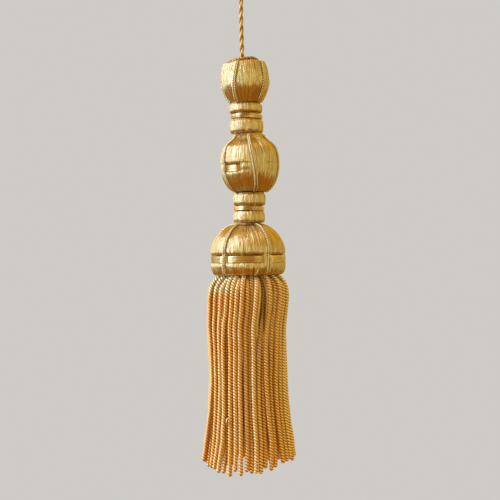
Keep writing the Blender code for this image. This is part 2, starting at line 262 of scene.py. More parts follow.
@cache
def cord_tree() -> bpy.types.NodeTree:
    """Geometry tree that lays a twisted cord along every line of a mesh of edges.

    Each point of a line carries thickness (share of the diameter), hand, phase and tone.

    Returns:
        The tree.
    """
    sizes = {"Diameter": 3.0 * MM, "Pitch": 4.0 * MM, "Plies": 2.0, "Valley": 0.35}
    sizes |= {"Rings": 10.0, "Sides": 12, "Rounding": 1.5 * MM, "Bluntness": 0.3}
    sizes |= {"Unevenness": 0.0, "Seed": 0.0}
    wiring, given, exit_node = open_shape_tree("twisted_cord", sizes)
    line = wiring.flow("GeometryNodeMeshToCurve", {"Mesh": given["Shape"]})
    line = wiring.flow("GeometryNodeCurveSplineType", {"Curve": line}, spline_type="CATMULL_ROM")
    line = wiring.flow("GeometryNodeSetSplineResolution", {"Geometry": line, "Resolution": 8})
    step = given["Pitch"] / given["Rings"]
    line = wiring.flow("GeometryNodeResampleCurve", {"Curve": line, "Length": step}, mode="LENGTH")

    run = wiring.flow("GeometryNodeSplineParameter", out="Length")
    turns = run / given["Pitch"]
    tilt = turns * TURN * wiring.attribute("hand") + wiring.attribute("phase")
    line = wiring.flow("GeometryNodeSetCurveTilt", {"Curve": line, "Tilt": tilt})
    line = wiring.store(line, "along", turns)

    to_end = wiring.math("MINIMUM", run, wiring.flow("GeometryNodeSplineLength") - run)
    inset = 1.0 - wiring.rescale(to_end, 0.0, given["Rounding"])
    rounded = wiring.math("MAXIMUM", wiring.math("SQRT", 1.0 - inset * inset), given["Bluntness"])
    spot = wiring.flow("ShaderNodeCombineXYZ", {0: wiring.attribute("phase"), 1: turns * 0.4})
    strays = (wiring.noise(spot, given["Seed"]) - 0.5) * given["Unevenness"]
    radius = given["Diameter"] * 0.5 * wiring.attribute("thickness") * rounded * (strays + 1.0)

    ring = wiring.flow("GeometryNodeCurvePrimitiveCircle", {"Resolution": given["Sides"], "Radius": 1.0})
    around = wiring.flow("GeometryNodeInputIndex") / given["Sides"]
    wave = wiring.math("COSINE", around * math.pi * given["Plies"])
    ring = wiring.store(ring, "around", around)
    # cavity: depth in the furrow between plies; it shapes the lobes, and the finish darkens it with painted
    # shade.
    ring = wiring.store(ring, "cavity", 1.0 - wiring.math("ABSOLUTE", wave))
    share = 1.0 - wiring.attribute("cavity") * given["Valley"]
    lobed = wiring.vector("SCALE", {0: wiring.flow("GeometryNodeInputPosition"), "Scale": share})
    ring = wiring.flow("GeometryNodeSetPosition", {"Geometry": ring, "Position": lobed})
    sources = {"Curve": line, "Profile Curve": ring, "Scale": radius, "Fill Caps": True}
    close_shape_tree(wiring, wiring.flow("GeometryNodeCurveToMesh", sources), given["Finish"], exit_node)
    return wiring.tree


@cache
def relief_tree() -> bpy.types.NodeTree:
    """Geometry tree that raises threads of floss on a turned surface.

    Its points carry around, in turns, along, in millimetres, and cover, 1 where there is floss.

    Returns:
        The tree.
    """
    sizes = {"Threads": 100.0, "Depth": 0.3 * MM, "Group Depth": 0.2 * MM, "Wander": 0.5 * MM}
    sizes |= {"Stretch": 0.06, "Thinnest": 0.35, "Least Radius": 6.0 * MM, "Seed": 0.0}
    wiring, given, exit_node = open_shape_tree("laid_floss", sizes)
    around, along, threads = wiring.attribute("around"), wiring.attribute("along"), given["Threads"]

    def lumps(threads_a_lump: float, seed_step: float, shortness: float = 1.0) -> Flow:
        """Noise with one lump for so many threads."""
        stretch = given["Stretch"] * shortness
        return wiring.ring_noise(around, along, threads / threads_a_lump, stretch, given["Seed"] + seed_step)

    centred = wiring.math("FRACT", around * threads + lumps(2.5, 41.0) * 2.0) * 2.0 - 1.0
    swell = wiring.math("SQRT", 1.0 - centred * centred)
    cavity = 1.0 - swell * wiring.rescale(lumps(0.8, 3.0), 0.0, 1.0, given["Thinnest"])
    sink = cavity * given["Depth"] + lumps(1.9, 11.0, 2.8) * given["Group Depth"]
    lift = sink * (wiring.attribute("cover") * -1.0)

    place = wiring.flow("GeometryNodeInputPosition")
    offset = wiring.vector("SCALE", {0: wiring.flow("GeometryNodeInputNormal"), "Scale": lift})
    flat = wiring.vector("MULTIPLY", {0: place, 1: (1.0, 1.0, 0.0)})
    radius = wiring.vector("LENGTH", {0: flat}, "Value")
    sway = lumps(7.0, 23.0) - 0.5 + (lumps(2.2, 31.0) - 0.5) * 0.5
    angle = sway * given["Wander"] / wiring.math("MAXIMUM", radius, given["Least Radius"])
    sources = {"Vector": wiring.vector("ADD", {0: place, 1: offset}), "Angle": angle}
    turned = wiring.flow("ShaderNodeVectorRotate", sources, rotation_type="Z_AXIS")
    # cavity: depth between threads; the finish darkens it with painted shade.
    shape = wiring.store(given["Shape"], "cavity", cavity)
    shape = wiring.flow("GeometryNodeSetPosition", {"Geometry": shape, "Position": turned})
    close_shape_tree(wiring, shape, given["Finish"], exit_node)
    return wiring.tree


# --- meshes


def put(name: str, data: bpy.types.ID) -> bpy.types.Object:
    """New object in the scene for its data.

    Args:
        name: the object's.
        data: its mesh, light or camera.

    Returns:
        The object.
    """
    made = bpy.data.objects.new(name, data)
    bpy.context.scene.collection.objects.link(made)
    return made


def grow(start: bpy.types.Mesh, tree: bpy.types.NodeTree, sizes: dict[str, object]) -> bpy.types.Mesh:
    """Run a geometry tree on a mesh and keep what it makes as a plain mesh.

    Args:
        start: the mesh that the tree starts from. It is used up.
        tree: the geometry tree.
        sizes: the tree's input names with their values.

    Returns:
        The mesh, with its map laid.
    """
    source = put(start.name, start)
    modifier = source.modifiers.new(tree.name, "NODES")
    modifier.node_group = tree
    keys = {item.name: item.identifier for item in tree.interface.items_tree if item.in_out == "INPUT"}
    for name, value in sizes.items():
        modifier[keys[name]] = value
    graph = bpy.context.evaluated_depsgraph_get()
    shown = source.evaluated_get(graph)
    mesh = bpy.data.meshes.new_from_object(shown, preserve_all_data_layers=True, depsgraph=graph)
    source.modifiers.remove(modifier)
    bpy.data.objects.remove(source)
    bpy.data.meshes.remove(start)
    lay_map(mesh)
    return mesh


def read_numbers(items: bpy.types.bpy_prop_collection, name: str, kind: type) -> np.ndarray:
    """One property of each item of a mesh.

    Args:
        items: its corners, faces or points.
        name: the property.
        kind: type of the numbers.

    Returns:
        The numbers, one an item.
    """
    found = np.empty(len(items), kind)
    items.foreach_get(name, found)
    return found


def write_points(mesh: bpy.types.Mesh, name: str, values: np.ndarray) -> None:
    """Store numbers on a mesh's points under a name."""
    made = mesh.attributes.new(name, "FLOAT", "POINT")
    made.data.foreach_set("value", np.asarray(values, np.float32))


def lay_map(mesh: bpy.types.Mesh) -> None:
    """Give a mesh its map, around against along, and close the map's seam.

    Args:
        mesh: one that has both as numbers on its points.
    """
    around = read_numbers(mesh.attributes["around"].data, "value", np.float32)
    along = read_numbers(mesh.attributes["along"].data, "value", np.float32)
    corners = read_numbers(mesh.loops, "vertex_index", np.int32)
    starts, totals = (read_numbers(mesh.polygons, name, np.int32) for name in ("loop_start", "loop_total"))
    across = around[corners]
    spread = np.maximum.reduceat(across, starts) - np.minimum.reduceat(across, starts)
    wraps = np.repeat(spread > 0.5, totals) & (across < 0.5)
    layer = mesh.uv_layers.new(name="threads", do_init=False)
    layer.uv.foreach_set("vector", np.column_stack((across + wraps, along[corners])).ravel())
    for name in ("around", "along", "thickness", "hand", "phase", "cover"):
        if name in mesh.attributes:
            mesh.attributes.remove(mesh.attributes[name])


def add_piece(
    name: str, mesh: bpy.types.Mesh, nodes: tuple[str, ...] = (), placement: Matrix | None = None
) -> bpy.types.Object:
    """Put a finished mesh in the scene as a piece of the tassel.

    Args:
        name: the piece's name.
        mesh: its mesh.
        nodes: the CAD nodes that it stands for.
        placement: from the mesh's frame to the row frame, where they differ.

    Returns:
        The piece.
    """
    if placement is not None:
        mesh.transform(placement)
    mesh.name = name
    piece = put(name, mesh)
    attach(piece, BODY)
    if nodes:
        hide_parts(*nodes)
    log.info("%s: %d faces", name, len(mesh.polygons))
    return piece


# --- finishes


@cache
def fibre_group() -> bpy.types.NodeTree:
    """Shader group for the lay of threads: which thread a point is on, and its fine fibres.

    Returns:
        The group.
    """
    sizes = {"Around": 0.0, "Along": 0.0, "Threads": 10.0, "Fibres": 4.0}
    sizes |= {"Slant": 0.0, "Stretch": 0.1, "Seed": 0.0}
    outlets = {"Thread": float, "Fibre": float, "Height": float}
    wiring, given, exit_node = open_tree("fibre_lay", "ShaderNodeTree", sizes, outlets)
    around, along, threads, fibres, slant, stretch, seed = given.values()
    slanted = around + along * slant
    thread = wiring.ring_noise(slanted, along, threads, stretch, seed)
    fibre = wiring.ring_noise(slanted, along, threads * fibres, stretch * 2.5, seed + 5.0)
    lean = wiring.ring_noise(slanted, along, threads, stretch * 8.0, seed + 9.0)
    shade = wiring.rescale(thread * 0.6 + fibre * 0.4, 0.22, 0.78)
    wiring.feed(exit_node, {"Thread": shade, "Fibre": fibre, "Height": lean + fibre * 0.3})
    return wiring.tree


@cache
def gold_group() -> bpy.types.NodeTree:
    """Shader group for gilt thread: pale where it is proud, with painted shade, a dark amber, where it lies
    deep in a hollow.

    Returns:
        The group.
    """
    inlets = {"Pale": (0.9, 0.7, 0.3, 1.0), "Body": (0.7, 0.45, 0.1, 1.0), "Deep": (0.3, 0.1, 0.01, 1.0)}
    inlets |= {"Thread": 0.5, "Tone": 0.5, "Cavity": 0.0}
    inlets |= {"Depth": 0.7, "Hollow Curve": 1.5, "Tone Share": 0.4}
    outlets = {"Colour": tuple, "Proud": float}
    wiring, given, exit_node = open_tree("gilt_depth", "ShaderNodeTree", inlets, outlets)
    pale, body, deep, thread, tone, cavity, depth, curve, tone_share = given.values()
    colour = wiring.blend(thread * (1.0 - tone_share) + tone * tone_share, body, pale)
    # Painted shade: the deep colour goes into the hollows by how deep a point lies; Proud is the share left
    # unshaded.
    share = wiring.math("POWER", cavity, curve) * depth
    wiring.feed(exit_node, {"Colour": wiring.blend(share, colour, deep), "Proud": 1.0 - share})
    return wiring.tree


@dataclass(frozen=True)
class SilkFinish:
    """Gilt silk in one lay: floss over a mould, a wound thread, a fine cord or bullion.

    Attributes:
        name: the material's name.
        threads: threads counted round the piece.
        fibres: fibres in a thread.
        slant: how far the threads turn in a unit of the map's second coordinate.
        stretch: lumps of colour along a thread in that unit.
        pale, body, deep: colours of the proud threads and of most, and the painted shade, a dark amber, in
            the hollows between threads and plies.
        depth: how strongly the hollows take that painted shade.
        metallic: share of the sheen that has the thread's own colour.
        rough: roughness of the smoothest and of the roughest fibres.
        sheen_across: how far the highlight is drawn out across the fibres.
        coat, coat_index, coat_rough: weight, refractive index and roughness of the clear gleam, which painted
            shade takes out of the hollows.
        hollow_curve: how far the painted shade keeps to the bottom of the hollows.
        tone_share: how much of the paleness goes by the whole thread.
        relief: height of the fibres.
    """

    name: str
    threads: float
    fibres: float = 2.0
    slant: float = 0.0
    stretch: float = 0.05
    pale: Colour = (1.0, 0.88, 0.47)
    body: Colour = (0.54, 0.29, 0.028)
    deep: Colour = (0.17, 0.045, 0.001)
    depth: float = 0.9
    metallic: float = 0.9
    rough: tuple[float, float] = (0.30, 0.43)
    sheen_across: float = 1.0
    coat: float = 1.0
    coat_index: float = 2.0
    coat_rough: float = 0.25
    relief: float = 0.07 * MM
    hollow_curve: float = 1.2
    tone_share: float = 0.4

    def material(self) -> bpy.types.Material:
        """The finish as a material, made once."""
        return bpy.data.materials.get(self.name) or self._build()

    def _build(self) -> bpy.types.Material:
        """Wire the material.

        Returns:
            The new material.
        """
        material = bpy.data.materials.new(self.name)
        material.use_nodes = True
        wiring = Wiring(material.node_tree)
        place = wiring.flow("ShaderNodeUVMap", uv_map="threads")
        around, along = (wiring.flow("ShaderNodeSeparateXYZ", {0: place}, out) for out in (0, 1))
        sources = {"Around": around, "Along": along, "Threads": self.threads, "Fibres": self.fibres}
        sources |= {"Slant": self.slant, "Stretch": self.stretch}
        lay = wiring.place("ShaderNodeGroup", sources, node_tree=fibre_group()).outputs
        thread, fibre, height = (Flow(wiring, output) for output in lay)
        # deep is the painted shade that the cavity attribute lays into the hollows.
        sources = {name.capitalize(): (*getattr(self, name), 1.0) for name in ("pale", "body", "deep")}
        sources |= {
            name.capitalize(): wiring.flow("ShaderNodeAttribute", out="Fac", attribute_name=name)
            for name in ("tone", "cavity")
        }
        sources |= {"Thread": thread, "Depth": self.depth}
        sources |= {"Hollow Curve": self.hollow_curve, "Tone Share": self.tone_share}
        gilt = wiring.place("ShaderNodeGroup", sources, node_tree=gold_group()).outputs
        colour, proud = (Flow(wiring, output) for output in gilt)
        relief = {"Height": height, "Strength": 1.0, "Distance": self.relief}
        sources = {
            "Base Color": colour,
            # Painted shade also takes the coat's gleam out of the hollows.
            "Coat Weight": proud * self.coat,
            "Roughness": wiring.rescale(fibre, 0.0, 1.0, *self.rough),
            "Normal": wiring.flow("ShaderNodeBump", relief),
            "Tangent": wiring.flow("ShaderNodeTangent", direction_type="UV_MAP", uv_map="threads"),
            "Metallic": self.metallic,
            "Anisotropic": self.sheen_across,
            "Coat IOR": self.coat_index,
            "Coat Roughness": self.coat_rough,
        }
        wiring.feed(material.node_tree.nodes["Principled BSDF"], sources)
        return material


def floss_finish(name: str, threads: int) -> SilkFinish:
    """Finish of the floss laid up and down over a mould with so many threads."""
    return SilkFinish(name, threads / 1.5, fibres=4.0, stretch=0.035, relief=0.22 * MM)


WOUND_THREAD = SilkFinish("wound_floss_thread", 5.0, stretch=3.0, relief=0.03 * MM)
GIMP_CORD = SilkFinish(
    "gimp_fine_cord",
    threads=8.0,
    slant=0.5,
    stretch=0.5,
    pale=(1.0, 0.92, 0.66),
    body=(0.95, 0.72, 0.32),
    # deep: painted shade for the hollows between plies.
    deep=(0.13, 0.042, 0.002),
    depth=1.0,
    rough=(0.2, 0.36),
    sheen_across=0.6,
    coat=0.35,
    hollow_curve=0.8,
)
HANGING = SilkFinish(
    "hanging_twisted_cord",
    threads=16.0,
    slant=1.6,
    stretch=1.0,
    pale=(0.70, 0.45, 0.17),
    body=(0.30, 0.145, 0.018),
    rough=(0.3, 0.46),
    sheen_across=0.75,
    coat=0.4,
    relief=0.04 * MM,
)
BULLION = SilkFinish(
    "bullion_twisted_cord",
    threads=12.0,
    slant=0.7,
    stretch=0.4,
    pale=(1.0, 0.84, 0.50),
    body=(0.92, 0.43, 0.06),
    # deep: painted shade for the hollows between plies.
    deep=(0.12, 0.036, 0.0015),
    depth=1.0,
    metallic=0.6,
    rough=(0.26, 0.42),
    sheen_across=0.6,
    coat=0.45,
    hollow_curve=1.6,
    tone_share=0.7,
)


# --- cords and the lines that they follow


@dataclass
class Strand:
    """One cord or thread to lay.

    Attributes:
        points: its centreline, a row for each point.
        thickness: its share of the cord's diameter.
        hand: the way it is twisted.
        phase: how far it is turned at its start.
        tone: how pale it is, from 0 to 1, all along or at each point; on the skirt it also carries painted
            shade, painted light and a painted highlight.
    """

    points: np.ndarray
    thickness: float = 1.0
    hand: Hand = Hand.S
    phase: float = 0.0
    tone: float | np.ndarray = 0.5


@dataclass(frozen=True)
class CordMake:
    """How a cord or a thread is made: what the cord's tree is given.

    Attributes:
        finish: its finish.
        diameter: across it.
        pitch: length of a full turn of its plies.
        valley: depth of the furrow between its plies, as a share of its radius.
        rings: cross-sections in a turn.
        sides: corners of a cross-section.
        rounding: length over which its ends are rounded off.
        unevenness: how far its thickness strays, as a share.
    """

    finish: SilkFinish
    diameter: float
    pitch: float
    valley: float
    rings: float
    sides: int
    rounding: float = 1.5 * MM
    unevenness: float = 0.0

    def lay(self, strands: list[Strand]) -> bpy.types.Mesh:
        """One mesh with the cord laid along the strands.

        Args:
            strands: the lines it follows.

        Returns:
            The mesh, in the strands' frame.
        """
        counts = [len(strand.points) for strand in strands]
        starts = np.cumsum([0, *counts[:-1]])
        edges = [(s + i, s + i + 1) for s, count in zip(starts.tolist(), counts) for i in range(count - 1)]
        mesh = bpy.data.meshes.new("centrelines")
        mesh.from_pydata(np.concatenate([strand.points for strand in strands]).tolist(), edges, [])
        for strand_values, name in (
            ([strand.thickness for strand in strands], "thickness"),
            ([strand.phase for strand in strands], "phase"),
            ([strand.hand.value for strand in strands], "hand"),
        ):
            write_points(mesh, name, np.repeat(strand_values, counts))
        tones = [np.broadcast_to(strand.tone, count) for strand, count in zip(strands, counts)]
        write_points(mesh, "tone", np.concatenate(tones))
        sizes = {size.name.capitalize(): getattr(self, size.name) for size in fields(self)}
        return grow(mesh, cord_tree(), sizes | {"Finish": self.finish.material()})


def run_along(points: np.ndarray) -> np.ndarray:
    """Distance along a line at each of its points."""
    return np.concatenate(([0.0], np.cumsum(np.linalg.norm(np.diff(points, axis=0), axis=1))))


def respaced(points: np.ndarray, step: float) -> np.ndarray:
    """Points about a step apart along a line of many short pieces.

    Args:
        points: of the line.
        step: distance between the new ones.

    Returns:
        The new points.
    """
    run = run_along(points)
    goals = np.linspace(0.0, run[-1], max(2, round(run[-1] / step)) + 1)
    return np.column_stack([np.interp(goals, run, column) for column in points.T])


def smooth_route(own: np.ndarray, step: float) -> np.ndarray:
    """Points about a step apart on a smooth curve through a route's own points.

    Args:
        own: the route's points.
        step: distance between the new ones.

    Returns:
        The new points.
    """
    ends = np.vstack((2 * own[0] - own[1], own, 2 * own[-1] - own[-2]))
    shares = np.linspace(0.0, 1.0, 40, endpoint=False)[:, None]
    fine = []
    for a, b, c, d in zip(ends, ends[1:], ends[2:], ends[3:]):
        bend = (2 * a - 5 * b + 4 * c - d) * shares**2 + (3 * b - a - 3 * c + d) * shares**3
        fine.append(b + 0.5 * ((c - a) * shares + bend))
    fine.append(own[-1:])
    return respaced(np.vstack(fine), step)


def ring_points(azimuths: np.ndarray, radii: np.ndarray, heights: np.ndarray) -> np.ndarray:
    """Points at azimuths, distances from the axis and heights."""
    return np.column_stack((radii * np.sin(azimuths), -radii * np.cos(azimuths), heights))


def winding(turns: int, points_a_turn: int) -> tuple[np.ndarray, np.ndarray]:
    """Shares of a winding's length, from 0 to 1, and its azimuths, from the back round."""
    shares = np.linspace(0.0, 1.0, turns * points_a_turn)
    return shares, math.pi + TURN * turns * shares


# --- the view


@dataclass(frozen=True)
class Picture:
    """The frame in which the tassel is seen: 500 by 500, level, turned by a degree.

    Attributes:
        size: width and height, in pixels.
        pixel: what a pixel covers at the tassel's axis.
        distance: from the camera to the axis.
        aim: x and z of the point at the frame's middle.
        roll_deg: how far the tassel seems turned, its top to the left.
    """

    size: int = 500
    pixel: float = 0.658 * MM
    distance: float = 0.68
    aim: tuple[float, float] = (2.46 * MM, -206.5 * MM)
    roll_deg: float = 1.0

    def place(self, column: float, row: float, y: float) -> tuple[float, float]:
        """The x and z that a pixel shows at a distance y behind the axis.

        Args:
            column, row: the pixel.
            y: that distance.

        Returns:
            The x and z.
        """
        scale = self.pixel * (self.distance + y) / self.distance
        right, up = (column - self.size / 2) * scale, (self.size / 2 - row) * scale
        lean = math.tan(math.radians(self.roll_deg))
        return self.aim[0] + right + up * lean, self.aim[1] + up - right * lean

    def on_form(
        self,
        column: float,
        row: float,
        radius_at: Callable[[float], float],
        middle_at: Callable[[float], float],
        rounds: int = 5,
    ) -> tuple[float, float, float]:
        """Place on the front of a round form where the frame shows a pixel.

        Args:
            column, row: of the pixel.
            radius_at: the form's radius at a drop.
            middle_at: sideways place of its axis at a drop.
            rounds: steps of the search.

        Returns:
            x from the form's axis, y and the drop.
        """
        across, y, drop = 0.0, 0.0, 0.0
        for _ in range(rounds):
            x, z = self.place(column, row, y)
            drop = STACK_TOP_Z - z
            across = x - middle_at(drop)
            radius = radius_at(drop)
            y = -math.sqrt(max(0.0, radius * radius - across * across))
        return across, y, drop

    def camera_matrix(self) -> Matrix:
        """Where the camera stands and how it is turned.

        Returns:
            The camera's matrix in the row frame.
        """
        spot = Matrix.Translation((self.aim[0], -self.distance, self.aim[1]))
        level = Matrix.Rotation(math.radians(90), 4, "X")
        return spot @ level @ Matrix.Rotation(math.radians(-self.roll_deg), 4, "Z")

    def lens(self, sensor: float) -> float:
        """Focal length, in the sensor's own unit."""
        return sensor * self.distance / (self.size * self.pixel)


PICTURE = Picture()


@dataclass(frozen=True)
class SoftLight:
    """One rectangular soft light.

    Attributes:
        name: its name.
        towards: direction from the tassel to the light.
        size: its width and height.
        power: in watts.
        colour: its colour.
        distance: how far away it is.
    """

    name: str
    towards: tuple[float, float, float]
    size: tuple[float, float]
    power: float
    colour: Colour
    distance: float = 1.3

    def build(self, target: Vector) -> None:
        """Hang the light, turned to the target.

        Args:
            target: the point it shines at.
        """
        data = bpy.data.lights.new(self.name, "AREA")
        data.shape = "RECTANGLE"
        data.size, data.size_y = self.size
        data.energy = self.power
        data.color = self.colour
        lamp = put(self.name, data)
        direction = Vector(self.towards)
        lamp.location = target + self.distance * direction.normalized()
        lamp.rotation_euler = direction.to_track_quat("Z", "Y").to_euler()


@dataclass
class Studio:
    """Camera, soft lights, pale surroundings and floor.

    Attributes:
        floor_z: height of the floor, well under the hanging tassel.
        floor_radius, floor_corners: how far it reaches, and corners of its rim.
        floor_look: its colours, glow and roughness, by the shader's inputs.
        sensor: width of the camera's sensor, in millimetres.
        backdrop: the plain surroundings that the camera sees.
        room, ceiling, underside: light that comes from the sides, from above and from below.
        above, below: heights between which the room passes into the ceiling and the underside.
        ceiling_lean: how much lower the ceiling's light starts behind the tassel.
        lights: the soft lights.
    """

    floor_z: float = -1.15
    floor_radius: float = 3.0
    floor_corners: int = 96
    floor_look: dict[str, object] = field(
        default_factory=lambda: {
            "Base Color": (0.12, 0.12, 0.12, 1.0),
            "Roughness": 0.9,
            "Emission Color": (0.56, 0.555, 0.56, 1.0),
            "Emission Strength": 0.75,
        }
    )
    sensor: float = 36.0
    backdrop: Colour = (0.62, 0.60, 0.57)
    room: Colour = (0.70, 0.57, 0.20)
    ceiling: Colour = (0.98, 0.58, 0.05)
    underside: Colour = (0.50, 0.20, 0.009)
    above: tuple[float, float] = (0.45, 0.72)
    below: tuple[float, float] = (-0.26, -0.42)
    ceiling_lean: float = 0.6
    lights: tuple[SoftLight, ...] = (
        SoftLight("key_window", (-0.82, -0.27, 0.39), (0.8, 1.6), 18.5, (0.74, 0.96, 1.30)),
        SoftLight("far_window", (-0.90, 0.42, 0.36), (0.9, 1.4), 4.6, (0.78, 0.97, 1.25)),
        SoftLight("room_lamp", (0.60, -0.76, 0.10), (0.8, 1.2), 2.4, (1.0, 0.92, 0.60)),
    )

    def build_camera(self) -> None:
        """Stand the camera where the photograph's was."""
        data = bpy.data.cameras.new("camera")
        data.sensor_width = self.sensor
        data.lens = PICTURE.lens(self.sensor)
        data.clip_start = 0.01
        camera = put("camera", data)
        camera.matrix_world = PICTURE.camera_matrix()
        bpy.context.scene.camera = camera
        bpy.context.scene.view_settings.view_transform = "Standard"

    def build_lights(self) -> None:
        """Hang the soft lights and set the pale surroundings."""
        for light in self.lights:
            light.build(Vector((0.0, 0.0, PICTURE.aim[1])))
        world = bpy.data.worlds.new("studio")
        world.use_nodes = True
        bpy.context.scene.world = world
        wiring = Wiring(world.node_tree)
        direction = wiring.flow("ShaderNodeTexCoord", out="Generated")
        depth, height = (wiring.flow("ShaderNodeSeparateXYZ", {0: direction}, out) for out in (1, 2))
        risen = height + wiring.math("MAXIMUM", depth, 0.0) * self.ceiling_lean
        colour = wiring.blend(wiring.rescale(risen, *self.above), (*self.room, 1.0), (*self.ceiling, 1.0))
        colour = wiring.blend(wiring.rescale(height, *self.below), colour, (*self.underside, 1.0))
        seen = wiring.flow("ShaderNodeLightPath", out="Is Camera Ray")
        colour = wiring.blend(seen, colour, (*self.backdrop, 1.0))
        wiring.feed(world.node_tree.nodes["Background"], {"Color": colour, "Strength": 1.0})

    def build_floor(self) -> None:
        """Lay the plain floor."""
        angles = [TURN * i / self.floor_corners for i in range(self.floor_corners)]
        reach = self.floor_radius
        rim = [(reach * math.cos(angle), reach * math.sin(angle), self.floor_z) for angle in angles]
        mesh = bpy.data.meshes.new("studio_floor")
        mesh.from_pydata(rim, [], [list(range(self.floor_corners))])
        material = bpy.data.materials.new("pale_floor")
        material.use_nodes = True
        Wiring(material.node_tree).feed(material.node_tree.nodes["Principled BSDF"], self.floor_look)
        mesh.materials.append(material)
        floor = put("studio_floor", mesh)
        floor.visible_glossy = floor.visible_diffuse = False


# --- hanging cord


@dataclass
class HangingCord:
    """Twisted cord that comes out of the bulb, is knotted, and makes the loop at the top.

    Attributes:
        make: how it is twisted.
        knot_pitch: length of a full turn of its plies in the knot.
        knot_top, knot_bottom: heights of the knot's ends.
        knot_radius: of the middle of the turns of the knot.
        knot_turns, knot_start: how often the cord goes round itself there, and from which azimuth.
        knot_sink, knot_ends: how far its ends sink, as a share of the radius, over what share of it.
        bend_radius: of the loop's top.
        hole_end: height of the cord's end in the bulb.
        stem: points between that end and the knot.
        leg: points of the loop's right leg above the knot.
    """

    make: CordMake = CordMake(
        HANGING, 3.1 * MM, 12.5 * MM, valley=0.5, rings=26.0, sides=24, unevenness=0.12
    )
    knot_pitch: float = 9.0 * MM
    knot_top: float = -27.6 * MM
    knot_bottom: float = -36.0 * MM
    knot_radius: float = 3.0 * MM
    knot_turns: float = 3.0
    knot_start: float = 0.6
    knot_sink: float = 0.55
    knot_ends: float = 0.06
    bend_radius: float = 6.8 * MM
    hole_end: float = STACK_TOP_Z - 3.2 * MM
    stem: tuple[tuple[float, float, float], ...] = (
        (-0.6 * MM, 0.0, -74.0 * MM),
        (-0.7 * MM, 0.0, -62.0 * MM),
        (-0.8 * MM, 0.1 * MM, -50.0 * MM),
        (-0.5 * MM, 0.1 * MM, -41.0 * MM),
    )
    leg: tuple[tuple[float, float, float], ...] = (
        (1.8 * MM, 0.1 * MM, -24.5 * MM),
        (3.7 * MM, 0.3 * MM, -18.0 * MM),
        (6.0 * MM, 0.3 * MM, -11.5 * MM),
    )

    def route(self) -> np.ndarray:
        """The cord's own points: from the bulb's hole through the knot, round the loop and back.

        Returns:
            The points, one in each row.
        """
        stem = [(-0.5 * MM, 0.0, self.hole_end), *self.stem, (-0.4 * MM, 0.0, self.knot_bottom - GAP)]
        leg = np.array([(1.7 * MM, 0.0, self.knot_top + 2 * GAP), *self.leg])
        angles = np.radians(np.arange(0.0, 181.0, 30.0))
        centre_z = self.make.diameter / 2 - self.bend_radius
        heights = centre_z + self.bend_radius * np.sin(angles)
        bend = np.column_stack((self.bend_radius * np.cos(angles), 0.0 * angles, heights))
        return np.vstack((stem, leg, bend, leg[::-1] * (-1.0, -1.0, 1.0)))

    def build_knot(self) -> bpy.types.Object:
        """Turns of the cord round itself that close the loop.

        Returns:
            The knot's piece.
        """
        shares = np.linspace(0.0, 1.0, 60)
        azimuths = TURN * self.knot_turns * shares + self.knot_start
        ends = np.clip(self.knot_ends - shares, 0, 1) + np.clip(shares - (1 - self.knot_ends), 0, 1)
        radii = self.knot_radius * (1 - self.knot_sink * ends / self.knot_ends)
        low, high = self.knot_bottom + self.make.diameter / 2, self.knot_top - self.make.diameter / 2
        line = ring_points(azimuths, radii, low + (high - low) * shares)
        mesh = replace(self.make, pitch=self.knot_pitch).lay([Strand(line, hand=Hand.Z)])
        return add_piece("loop_knot_turns", mesh, ("loop_knot",))

    def build(self) -> None:
        """Make the cord and its knot."""
        knot = self.build_knot()
        path = smooth_route(self.route(), self.make.diameter)
        mesh = self.make.lay([Strand(path, hand=Hand.Z)])
        cord = add_piece("hanging_cord_and_loop", mesh, ("hanging_cord", "hanging_loop"))


# --- covered moulds


